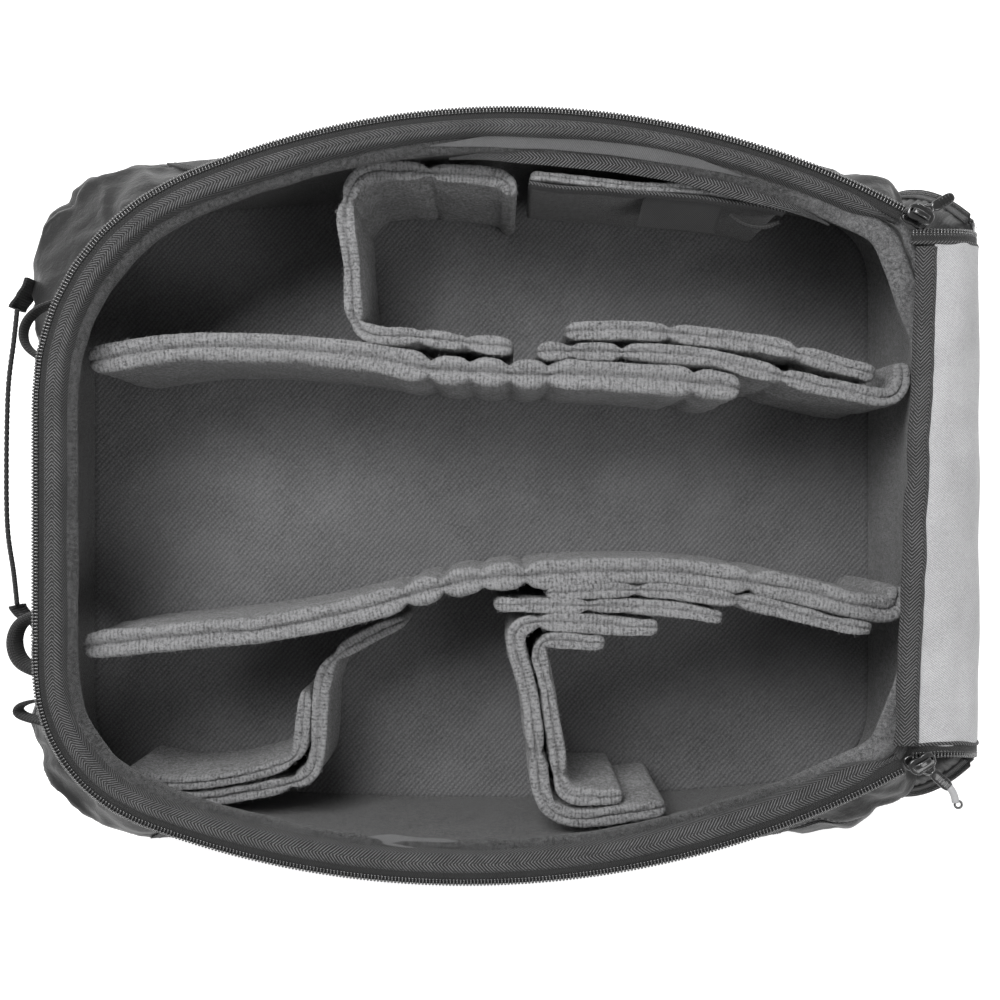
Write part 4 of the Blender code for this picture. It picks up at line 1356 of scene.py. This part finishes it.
# ---- lid -----------------------------------------------------------------------------
class LidMap:
    """The folded lid as one panel: a length q runs down it, round its fold and on to its far end."""

    def __init__(self):
        near_low, near_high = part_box("lid_near_panel")
        lining_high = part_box("lid_near_lining")[1]
        far_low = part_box("lid_far_panel")[0]
        self.axis = JOINTS["lid_fold"]["pos_m"]
        self.plane_x = (near_low.x + lining_high.x) / 2
        self.radius = self.plane_x - self.axis[0]
        self.top_z = near_high.z
        self.fold_start = self.top_z - self.axis[2]
        self.fold_end = self.fold_start + self.radius * math.pi / 2
        self.length = self.fold_end + self.axis[0] - far_low.x
        self.near = self.near_limits()
        self.far = top_loop("lid_far_panel")[:, :2]

    def near_limits(self):
        """Height, lowest Y and highest Y of each row of the hanging panel."""
        limits = []
        for level, row in rows_by_level("lid_near_panel"):
            y = [point[1] for point in row]
            limits.append((level, min(y), max(y)))
        return np.array(limits)

    def limits(self, q):
        """Lowest and highest Y of the panel at a length q."""
        if q <= self.fold_start:
            z = self.top_z - q
            return tuple(np.interp(z, self.near[:, 0], self.near[:, k]) for k in (1, 2))
        x = min(self.axis[0] - (q - self.fold_end), self.far[:, 0].max() - 1e-4)
        x = max(x, self.far[:, 0].min() + 1e-4)
        ring = np.concatenate([self.far, self.far[:1]])
        found = []
        for one, two in zip(ring, ring[1:]):
            if (one[0] - x) * (two[0] - x) < 0:
                found.append(one[1] + (two[1] - one[1]) * (x - one[0]) / (two[0] - one[0]))
        return min(found), max(found)

    def place(self, q, y, lift):
        """Point at a length q, with lift towards the lining side."""
        q, y, lift = np.broadcast_arrays(q, y, lift)
        turn = np.clip((q - self.fold_start) / self.radius, 0.0, math.pi / 2)
        before = np.minimum(q, self.fold_start)
        after = np.maximum(q - self.fold_end, 0.0)
        reach = self.radius + lift
        x = self.axis[0] + reach * np.cos(turn) - after
        z = self.axis[2] - reach * np.sin(turn) + self.fold_start - before
        return np.stack([x, y, z], axis=-1)

    def outline(self):
        """Edge of the panel as (q, y): down the upper edge, round the far end and back."""
        last = self.length - 0.03 * np.linspace(1, 0, 24) ** 2
        marks = np.concatenate([np.arange(0.0, self.length - 0.03, 0.004), last])
        pairs = np.array([self.limits(q) for q in marks])
        upper = np.column_stack([marks, pairs[:, 1]])
        lower = np.column_stack([marks, pairs[:, 0]])[::-1]
        end = np.linspace(upper[-1], lower[0], 40)[1:-1]
        return resample(np.concatenate([upper, end, lower]), 0.0022, 8)


def blend_fold(obj):
    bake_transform(obj)


def distance_to(points, line):
    """Shortest distance from each flat point to a line of points."""
    best = np.full(len(points), 1e9)
    for one, two in zip(line, line[1:]):
        edge = two - one
        share = np.clip(((points - one) @ edge) / max(edge @ edge, 1e-12), 0.0, 1.0)
        best = np.minimum(best, np.linalg.norm(points - one - share[:, None] * edge, axis=1))
    return best


END_LENGTH = 0.040          # the lid's far end, where the rows of its mesh close up
END_ROWS = 28
OTHER_ROWS = 84
LID_COLUMNS = 84
LID_EDGE = 0.006            # the padding rounds off over this length at its border
COVER_LIFTS = (-0.0058, 0.0042)             # faces of the padding, from the panel's middle
LINING_LIFTS = (0.0034, 0.0056)
LINING_INSET = 0.0030


def lid_sheet(lid, name, material, lift_low, lift_high, inset):
    """A closed padded sheet over the lid's outline, thinned to nothing at its border."""
    columns = LID_COLUMNS
    closing = (END_LENGTH - inset) * np.linspace(1, 0, END_ROWS + 1)[1:] ** 1.7
    q_marks = np.concatenate([
        np.linspace(inset, lid.length - END_LENGTH, OTHER_ROWS), lid.length - inset - closing,
    ])
    grid_q, grid_y = np.empty((2, len(q_marks), columns))
    for i, q in enumerate(q_marks):
        low, high = lid.limits(q)
        grid_q[i] = q
        grid_y[i] = np.linspace(low + inset, high - inset, columns)
    uv = np.stack([grid_q, grid_y], axis=-1)
    border = np.concatenate([uv[0], uv[:, -1], uv[-1, ::-1], uv[::-1, 0]])
    depth = distance_to(uv.reshape(-1, 2), border[::3]).reshape(grid_q.shape)
    full = quarter_round(depth, LID_EDGE)
    middle = (lift_low + lift_high) / 2
    half = (lift_high - lift_low) / 2
    upper = lid.place(grid_q, grid_y, middle + half * full)
    lower = lid.place(grid_q, grid_y, middle - half * full)
    one = surface(name, upper, uv, material)
    two = surface(name + "_under", lower[:, ::-1], uv[:, ::-1], material)
    obj = join(name, [one, two])
    weld(obj)
    return obj


def build_lid(lid):
    cover = lid_sheet(lid, "lid_padding", NYLON, *COVER_LIFTS, 0.0)
    lining = lid_sheet(lid, "lid_lining", TWILL, *LINING_LIFTS, LINING_INSET)
    for obj, growth in ((cover, 0.015), (lining, 0.03)):
        points = points_of(obj)
        border = lid.place(*lid.outline().T, 0.0)
        held = np.zeros(len(points), bool)
        tree = kd_of(border)
        for index, point in enumerate(points):
            held[index] = tree.find(point)[2] < 0.005
        held |= (points[:, 2] < 0.0007) | ((points[:, 0] > 0.243) & (points[:, 2] < 0.030))
        soft(obj, held, pressure=1.5, growth=growth, cap=0.0018)
    return cover, lining


def kd_of(points):
    tree = KDTree(len(points))
    for index, point in enumerate(points):
        tree.insert(point, index)
    tree.balance()
    return tree


def finish_lid(cover, lining):
    for obj, nodes, slot, size in (
        (cover, ("lid_near_panel", "lid_far_panel"), "shell_nylon", 0.0007),
        (lining, ("lid_near_lining", "lid_far_lining"), "lid_twill", 0.0004),
    ):
        points = points_of(obj)
        ripple = wobble(points, 0.026, 3.0) * size + wobble(points, 0.009, 8.0) * size * 0.4
        points = points + normals_of(obj) * ripple[:, None]
        points[:, 2] = np.maximum(points[:, 2], 0.0)
        set_points(obj, points)
        blend_fold(obj)
        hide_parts(*nodes)


def lid_edge(lid):
    """Bound edge, tape and teeth round the lid."""
    flat = lid.outline()
    line = lid.place(flat[:, 0], flat[:, 1], 0.0)
    lifted_line = lid.place(flat[:, 0], flat[:, 1], 0.001)
    up = unit(lifted_line - line)
    ahead = unit(np.gradient(line, axis=0))
    out = np.cross(ahead, up)
    middle = len(line) // 4
    if np.dot(out[middle], [0.0, 1.0, 0.0]) < 0:
        out = -out
    oval = circle_section(1.0, 10) * np.array([0.0017, 0.0030])
    cord = sweep("lid_edge_binding", line + out * 0.0004, out, up, oval, BINDING)
    tape = sweep("lid_zip_tape", line + out * 0.0022, out, up, rounded_strip(0.0056, TAPE_THICK), TAPE)
    teeth = teeth_along("lid_zip_teeth", line + out * 0.0026, out, up)
    rows = stitches("lid_edge_stitches", line - out * 0.0034 + up * 0.0056, up)
    slots = ((cord, "webbing"), (tape, "zip_tape"), (teeth, "zip_teeth"), (rows, "webbing"))
    for obj, slot in slots:
        blend_fold(obj)
    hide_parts("lid_near_zip_upper", "lid_near_zip_lower", "lid_far_zip")


# ---- sliders and pulls ---------------------------------------------------------------
PLATE_SIZE = (0.0150, 0.0098)
TAB_SIZE = (0.0140, 0.0066)
RIB_SIZE = (0.0046, 0.0009)
LOOP_STEPS = 40


def slider_frame(side):
    """Place and axes of a slider: along its zip, outwards and up."""
    low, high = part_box(f"slider_{side}")
    centre = np.array([(low.x + high.x) / 2, (low.y + high.y) / 2, (low.z + high.z) / 2])
    pivot = np.array(JOINTS[f"slider_{side}_run"]["pos_m"])
    out = centre - pivot
    out[2] = 0.0
    out = unit(out)
    return centre, np.cross(UPWARD, out), out, low.z, high.z


def rounded_plate(name, centre, ahead, out, heights, size, waist=0.0, bevel=0.0006):
    """A metal plate: a long oval with pinched shoulders and eased edges, of a given plan size."""
    z_low, z_high = heights
    length, width = size
    ring = []
    for turn in np.linspace(0.0, math.tau, 40, endpoint=False):
        c, s = math.cos(turn), math.sin(turn)
        x = math.copysign(abs(c) ** 0.75, c) * length / 2
        y = math.copysign(abs(s) ** 0.75, s) * width / 2 * (1.0 - waist * (1.0 - abs(c)) ** 2)
        ring.append((x, y))
    ring = np.array(ring)
    ease = bevel / width
    layers = (
        (1.0 - ease * 2.2, z_low), (1.0, z_low + bevel), (1.0, z_high - bevel),
        (1.0 - ease * 1.2, z_high - bevel * 0.3), (1.0 - ease * 2.6, z_high),
    )
    grid = []
    for share, z in layers:
        points = centre + ring[:, :1] * ahead * share + ring[:, 1:] * out * share
        points[:, 2] = z
        grid.append(points)
    grid = np.array(grid)
    uv = np.zeros((grid.shape[0], grid.shape[1] + 1, 2))
    return surface(name, grid, uv, METAL, wrap=True, caps=True)


def build_slider(side):
    """Two plates joined by a neck, with a bridge on top that the pull hangs on."""
    centre, ahead, out, z_low, z_high = slider_frame(side)
    parts = []
    whole = (z_low, z_high)
    for label, place, heights, size, waist in (
        ("base", centre, (z_low, z_low + 0.0016), PLATE_SIZE, 0.22),
        ("crown", centre, (z_high - 0.0019, z_high), PLATE_SIZE, 0.22),
        ("nose", centre + ahead * 0.0052, whole, (0.0034, 0.0034), 0.0),
        ("side", centre + out * 0.0041, whole, (0.011, 0.0018), 0.0),
    ):
        parts.append(rounded_plate(f"slider_{side}_{label}", place, ahead, out, heights, size, waist))
    arch = np.linspace(0.0, math.pi, 15)
    line = np.array([centre + ahead * (0.0048 * math.cos(a)) for a in arch])
    line[:, 2] = z_high - 0.0008 + 0.0026 * np.sin(arch) ** 0.7
    line_side = tiled(out, arch)
    line_up = unit(np.cross(np.gradient(line, axis=0), line_side))
    bar = rounded_strip(0.0030, 0.0011, 4, 2)
    parts.append(sweep(f"slider_{side}_bridge", line, line_side, line_up, bar, METAL))
    keep(join(f"slider_body_{side}", parts), f"slider_{side}", "slider_metal", f"slider_{side}")


def tube(name, points, radius, material, sides=10):
    """A round bar or cord along a smooth 3-D line."""
    points = np.asarray(points, float)
    ahead = unit(np.gradient(points, axis=0))
    guess = tiled([0.05, 0.03, 1.0], points)
    side = unit(np.cross(guess, ahead))
    up = np.cross(ahead, side)
    return sweep(name, points, side, up, circle_section(radius, sides), material)


def build_pull(side):
    """A wire loop through the bridge, a flat puller, and on the lower one a cord tail."""
    pivot = np.array(JOINTS[f"pull_{side}_flip"]["pos_m"])
    low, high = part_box(f"pull_{side}")
    middle = np.array([(low.x + high.x) / 2, (low.y + high.y) / 2, pivot[2]])
    heading = unit((middle - pivot) * np.array([1.0, 1.0, 0.0]))
    across = np.cross(UPWARD, heading)
    level = pivot[2] + 0.0002
    parts = []
    loop = np.array([
        pivot + heading * (0.0036 - 0.0044 * math.cos(a)) + across * (0.0031 * math.sin(a))
        for a in np.linspace(0.0, math.tau, LOOP_STEPS)
    ])
    loop[:, 2] = level
    parts.append(tube(f"pull_{side}_loop", loop, 0.00075, METAL))
    plate_centre = pivot + heading * (0.0070 + TAB_SIZE[0] / 2)
    heights = (level - 0.0009, level + 0.0009)
    name = f"pull_{side}_tab"
    parts.append(rounded_plate(name, plate_centre, heading, across, heights, TAB_SIZE, 0.10))
    heights = (level + 0.0006, level + 0.0013)
    for k in range(4):
        spot = plate_centre + heading * (-0.0012 + 0.0018 * k)
        name = f"pull_{side}_rib_{k}"
        parts.append(rounded_plate(name, spot, across, heading, heights, RIB_SIZE, bevel=0.0002))
    keep(join(f"pull_body_{side}", parts), f"pull_{side}", "slider_metal", f"pull_{side}")
    if side == "lower":
        pull_cord(pivot, heading, across, level)


def pull_cord(pivot, heading, across, level):
    """A short bent cord behind the puller, with a small ring at its end."""
    start = pivot + heading * 0.0195
    bend = np.linspace(0.0, 1.0, 16)
    tail = np.array([
        start + heading * (0.0085 * t) + across * (-0.0036 * t * t) for t in bend
    ])
    tail[:, 2] = level - 0.0012 * bend
    cord = tube("pull_cord", tail, 0.0020, CORD)
    end = tail[-1] + heading * 0.0020
    knot = np.array([
        end + heading * 0.0019 * math.cos(a) + across * 0.0019 * math.sin(a)
        for a in np.linspace(0.0, math.tau, LOOP_STEPS)
    ])
    end_ring = tube("pull_cord_ring", knot, 0.00065, METAL, 8)
    keep(cord, "pull_lower", "webbing")
    keep(end_ring, "pull_lower", "slider_metal")


# ---- straps and loops ----------------------------------------------------------------
def upright_strap(name, node, thick, bow, width=None, start=None):
    """A webbing strap standing on edge along a CAD strap's plan line, with its path and axes."""
    low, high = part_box(node)
    line, _ = ribbon(node, 0.0020, start=start)
    width = width or high.z - low.z
    path = lifted(line, (low.z + high.z) / 2)
    side = flat3(plan_normals(line))
    side = unit(side + UPWARD * bow)
    up = unit(np.cross(np.gradient(path, axis=0), side))
    strap = sweep(name, path, up, side, rounded_strip(width, thick, 10), WEBBING)
    return strap, path, side, up


HANDLE_LEAN = -0.36
HANDLE_WIDTH = 0.0235
HANDLE_THICK = 0.0024


def build_straps(shell_tree):
    upper_end = np.array([-0.283, 0.111])
    handle, path, side, up = upright_strap(
        "handle_strap", "carry_handle", HANDLE_THICK, HANDLE_LEAN, HANDLE_WIDTH, upper_end,
    )
    rows = []
    for number, (edge, face) in enumerate(((-0.36, 1), (0.36, 1), (-0.36, -1), (0.36, -1))):
        row = path + up * HANDLE_WIDTH * edge + side * face * HANDLE_THICK / 2
        rows.append(stitches(f"handle_stitches_{number}", row, side * face))
    keep(handle, "handle", "webbing", "carry_handle")
    keep(join("handle_stitches", rows), "handle", "webbing")
    for label in ("upper", "lower"):
        anchor_patch(label, shell_tree)
    loops = (("haul_loop_upper", 0.0022), ("haul_loop_lower", 0.0040), ("side_tab", 0.0018))
    for node, thick in loops:
        strap = upright_strap(node + "_strap", node, thick, 0.12)[0]
        keep(strap, "bag", "webbing", node)


PATCH_ROWS = 14

# a square with its two diagonals, in shares of the patch
BOX_STITCH = (
    (0.25, 0.2), (0.75, 0.2), (0.75, 0.8), (0.25, 0.8),
    (0.25, 0.2), (0.75, 0.8), (0.75, 0.2), (0.25, 0.8),
)


def anchor_patch(label, shell_tree):
    """The folded end of the handle: it comes down to the wall and is box-stitched to it."""
    node = f"handle_anchor_{label}"
    low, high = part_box(node)
    middle = (low.z + high.z) / 2
    y = np.linspace(low.y, high.y, PATCH_ROWS)
    share = np.linspace(0.0, 1.0, PATCH_ROWS)
    if label == "lower":
        share = share[::-1]
    inward = Vector((1.0, 0.0, 0.0))
    hits = [
        shell_tree.ray_cast(Vector((-RAY_REACH, value, middle)), inward)[0] for value in y
    ]
    wall = np.array([hit.x if hit else high.x for hit in hits]) - 0.0014
    handle_x = low.x + 0.0020
    x = handle_x + (wall - handle_x) * smoothstep(share * 1.3)
    path = np.column_stack([x, y, np.full(len(y), middle)])
    side = tiled(UPWARD, path)
    up = tiled([-1.0, 0.0, 0.0], path)
    section = rounded_strip(high.z - low.z + 0.001, 0.0026, 10)
    patch = sweep(f"handle_patch_{label}", path, side, up, section, WEBBING)
    size = high - low
    line = np.array([
        (0.0, low.y + size.y * (0.1 + 0.8 * a), low.z + size.z * (0.1 + 0.8 * b))
        for a, b in BOX_STITCH
    ])
    line = resample(line, 0.001, 0)
    line[:, 0] = np.interp(line[:, 1], y, x) - 0.0015
    normal = tiled([-1.0, 0.0, 0.0], line)
    thread = stitches(f"handle_patch_thread_{label}", line, normal, pitch=0.0024)
    keep(patch, "bag", "webbing", node)
    keep(thread, "bag", "webbing")


STRAP_THICK = 0.0022
STRAP_SUNK = 0.0006         # its back lies this far inside the shell


def strap_edges(node):
    """Heights of a sewn strap's CAD solid, with the plan points of its two edges at each."""
    rows = [(level, min(row), max(row)) for level, row in rows_by_level(node)]
    return np.array([(level, *first, *last) for level, first, last in rows])


def wall_strap(node, shell_tree):
    """Flat webbing sewn up a long wall, following the shell under it."""
    low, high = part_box(node)
    edges = strap_edges(node)
    heights = np.linspace(low.z, high.z + 0.004, 34)
    ends = read_at(heights, edges[:, 0], edges[:, 1:])
    columns = np.linspace(0.04, 0.96, 9)
    first, last = ends[:, None, :2], ends[:, None, 2:]
    plan = first + (last - first) * columns[None, :, None]
    out = flat3(outwards(plan.reshape(-1, 2))).reshape(*plan.shape[:2], 3)
    levels = np.broadcast_to(heights[:, None, None], (*plan.shape[:2], 1))
    face = np.concatenate([plan, levels], axis=-1)
    for i, j in np.ndindex(face.shape[:2]):
        start = Vector(face[i, j] + out[i, j] * 0.05)
        hit = shell_tree.ray_cast(start, Vector(-out[i, j]))[0]
        if hit:
            face[i, j] = hit
    for _ in range(2):
        face[1:-1] = 0.25 * face[:-2] + 0.5 * face[1:-1] + 0.25 * face[2:]
    outer = face + out * STRAP_THICK
    inner = (face - out * STRAP_SUNK)[:, ::-1]
    grid = np.concatenate([outer, inner], axis=1)
    middle = face[len(face) // 2]
    width = np.linalg.norm(middle[-1] - middle[0])
    marks = columns * width
    across = np.concatenate([marks, marks + width, [width * 2]])
    uv = spread(heights - heights[0], across)
    strap = surface(node + "_strap", grid, uv, WEBBING, wrap=True, caps=True)
    thread = []
    for number, column in enumerate((1, 7)):
        path = outer[:, column] + out[:, column] * 0.0002
        thread.append(stitches(f"{node}_thread_{number}", path, out[:, column]))
    keep(strap, "bag", "webbing", node)
    keep(join(node + "_thread", thread), "bag", "webbing")


def shell_seams(shell_tree):
    """A corded seam round the widest part of the bag, and stitched seams below the zip."""
    bearings = np.linspace(0.0, math.tau, 700)

    def ring(z, lift):
        points = []
        for bearing in bearings:
            out = Vector((math.cos(bearing), math.sin(bearing), 0.0))
            centre = Vector((*WALL_CENTRE, z))
            hit = shell_tree.ray_cast(centre + out * RAY_REACH, -out)[0]
            points.append(tuple((hit if hit else centre + out * 0.2) + out * lift))
        line = np.array(points)
        return line, flat3(outwards(line))

    line, out = ring(SEAM_HEIGHT, 0.0004)
    up = tiled(UPWARD, line)
    section = circle_section(SEAM_CORD, 8)
    piping = sweep("body_piping", line, out, up, section, BINDING, caps=False)
    keep(piping, "bag", "webbing")
    threads = []
    for number, z in enumerate((SEAM_HEIGHT + 0.0042, 0.1600)):
        line, out = ring(z, 0.00015)
        threads.append(stitches(f"shell_thread_{number}", line, out, pitch=0.0036))
    keep(join("shell_stitches", threads), "bag", "webbing")


# ---- pocket on the upper wall --------------------------------------------------------
POCKET_LIP = 0.0045


def build_pocket():
    lip = padded_wall("side_pocket", corner=0.004, pinch=0.0)
    lip.data.materials.append(WALL_FLEECE)
    for polygon in lip.data.polygons:
        polygon.material_index = int(polygon.center.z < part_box("side_pocket")[1].z - POCKET_LIP)
    finish_dividers([(lip, "side_pocket")])
    low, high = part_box("pocket_binding")
    line, _ = ribbon("pocket_binding", 0.0022)
    side = flat3(plan_normals(line))
    up = tiled(UPWARD, line)
    section = rounded_strip(high.z - low.z, 0.0022)
    sway = 0.0008 * wobble(lifted(line, 0.0), 0.02, 1.0)
    path = lifted(line, (low.z + high.z) / 2) + side * sway[:, None]
    keep(sweep("pocket_edge", path, up, side, section, BINDING), "bag", "webbing", "pocket_binding")
    low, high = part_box("pocket_tab")
    line, _ = ribbon("pocket_tab", 0.0022)
    side = flat3(plan_normals(line))
    up = unit(tiled(UPWARD, line) * 0.9 + side * 0.30)
    path = lifted(line, (low.z + high.z) / 2 - 0.001) - side * 0.002
    tab = sweep("pocket_pull_tab", path, up, side, rounded_strip(high.z - low.z, 0.0018), SATIN)
    keep(tab, "bag", "dark_fleece", "pocket_tab")
    loop = upright_strap("pocket_loop_strap", "pocket_loop", 0.0018, 0.25)[0]
    keep(loop, "bag", "webbing", "pocket_loop")


# ---- back cushions -------------------------------------------------------------------
CHANNEL_DEPTH = 0.35        # as a share of the cushion's crown
SEAM_SHARE = 0.62           # height of the seam round a cushion, as a share of its own


def back_cushion(node):
    """A crowned mesh cushion on the harness side."""
    low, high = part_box(node)
    size = high - low
    grid_u, grid_v = np.meshgrid(np.linspace(-1.0, 1.0, 48), np.linspace(-1.0, 1.0, 44))
    squeeze = 1.0 - 0.06 * grid_v ** 2
    off_x = grid_u * (size.x / 2 - 0.001) * squeeze
    off_y = grid_v * (size.y / 2 - 0.001) * (1.0 - 0.05 * grid_u ** 2)
    middle = (low + high) / 2
    bearings, radii = polar_wall(tree_of(node), [middle.z], True, middle.xy, rounds=2)
    outline = np.interp(np.arctan2(off_y, off_x) % math.tau, bearings, radii[0], period=math.tau)
    to_border = np.hypot(off_x, off_y) / np.maximum(np.abs(grid_u), np.abs(grid_v))
    fit = np.minimum(1.0, (outline - 0.001) / to_border)
    x = middle.x + off_x * fit
    y = middle.y + off_y * fit
    edge = (1.0 - np.abs(grid_u) ** 8) * (1.0 - np.abs(grid_v) ** 8)
    full = np.sqrt(np.clip(edge, 0.0, 1.0))
    channel = 1.0 - CHANNEL_DEPTH * hump(grid_v, 0.0, 0.10)
    seam = high.z * SEAM_SHARE
    under = seam - (seam - 0.0006) * full * channel
    over = seam + (high.z - 0.0004 - seam) * full
    uv = np.stack([grid_u * size.x / 2, grid_v * size.y / 2], axis=-1)
    one = surface(node + "_cushion", np.stack([x, y, over], axis=-1), uv, SPACER)
    two = surface(node + "_under", np.stack([x, y, under], axis=-1)[:, ::-1], uv[:, ::-1], SPACER)
    obj = join(node + "_cushion", [one, two])
    weld(obj)
    points = points_of(obj)
    held = (points[:, 2] > high.z - 0.002) | (np.abs(points[:, 1] - (low.y + high.y) / 2) < 0.003)
    soft(obj, held, pressure=2.0, growth=0.02, cap=0.0012)
    return obj


def finish_cushion(obj, node):
    points = points_of(obj)
    points[:, 2] = np.clip(points[:, 2], 0.0, None)
    set_points(obj, points)
    keep(obj, "bag", "back_mesh", node)


# ---- stage ---------------------------------------------------------------------------
FLOOR_DROP = 0.0012
FLOOR_GLOW = 0.45
SKY_STRENGTH = 0.62
EYE_HEIGHT = 0.908
LENS_MM = 48.9
# name, place, size and power
LAMPS = (
    ("soft_box", (-0.40, 0.60, 1.30), 0.7, 24.0),
    ("fill_box", (0.7, -0.5, 1.4), 0.6, 7.0),
)


def build_stage():
    bpy.ops.mesh.primitive_plane_add(size=12.0, location=(0.0, 0.0, -FLOOR_DROP))
    floor = bpy.context.object
    floor.name = "floor"
    material = bpy.data.materials.new("pale_floor")
    material.use_nodes = True
    shader = material.node_tree.nodes["Principled BSDF"]
    shader.inputs["Base Color"].default_value = (0.85, 0.85, 0.85, 1.0)
    shader.inputs["Roughness"].default_value = 0.9
    shader.inputs["Emission Color"].default_value = (1.0, 1.0, 1.0, 1.0)
    shader.inputs["Emission Strength"].default_value = FLOOR_GLOW
    floor.data.materials.append(material)

    world = bpy.data.worlds.new("studio")
    world.use_nodes = True
    background = world.node_tree.nodes["Background"]
    background.inputs["Color"].default_value = (1.0, 1.0, 1.0, 1.0)
    background.inputs["Strength"].default_value = SKY_STRENGTH
    bpy.context.scene.world = world
    for name, location, size, energy in LAMPS:
        data = bpy.data.lights.new(name, "AREA")
        data.shape = "SQUARE"
        data.size = size
        data.energy = energy
        lamp = bpy.data.objects.new(name, data)
        lamp.location = location
        lamp.rotation_euler = (-Vector(location)).to_track_quat("-Z", "Y").to_euler()
        bpy.context.scene.collection.objects.link(lamp)

    camera_data = bpy.data.cameras.new("camera")
    camera_data.lens = LENS_MM
    camera_data.sensor_width = 36.0
    camera_data.clip_start = 0.01
    camera = bpy.data.objects.new("camera", camera_data)
    camera.location = (0.0, 0.0, EYE_HEIGHT)
    bpy.context.scene.collection.objects.link(camera)
    bpy.context.scene.camera = camera
    bpy.context.scene.view_settings.view_transform = "Standard"


# ---- build ---------------------------------------------------------------------------
def main():
    dividers = build_dividers()
    shell = outer_shell()
    lid = LidMap()
    cover, lining = build_lid(lid)
    cushions = [(back_cushion(node), node) for node in ("back_pad_upper", "back_pad_lower")]
    simulate(SIMULATED_FRAMES)
    finish_dividers(dividers)
    brushed_fibres(dividers)
    finish_shell(shell)
    finish_lid(cover, lining)
    for obj, node in cushions:
        finish_cushion(obj, node)
    shell_tree = BVHTree.FromObject(shell, bpy.context.evaluated_depsgraph_get())
    for name in frame["nodes"]:
        if name.startswith("webbing_"):
            wall_strap(name, shell_tree)
    shell_seams(shell_tree)
    inner_wall()
    bay_floor()
    line, out = rim_line()
    for build in (rim_teeth, rim_tape, rim_binding, side_facings):
        build(line, out)
    hinge_strip()
    hinge_cloth()
    hinge_ends()
    lid_edge(lid)
    for side in ("upper", "lower"):
        build_slider(side)
        build_pull(side)
    build_straps(shell_tree)
    build_pocket()
    board = frame["nodes"]["base_board"]
    board.data.materials.clear()
    board.data.materials.append(BOARD)
    build_stage()


main()
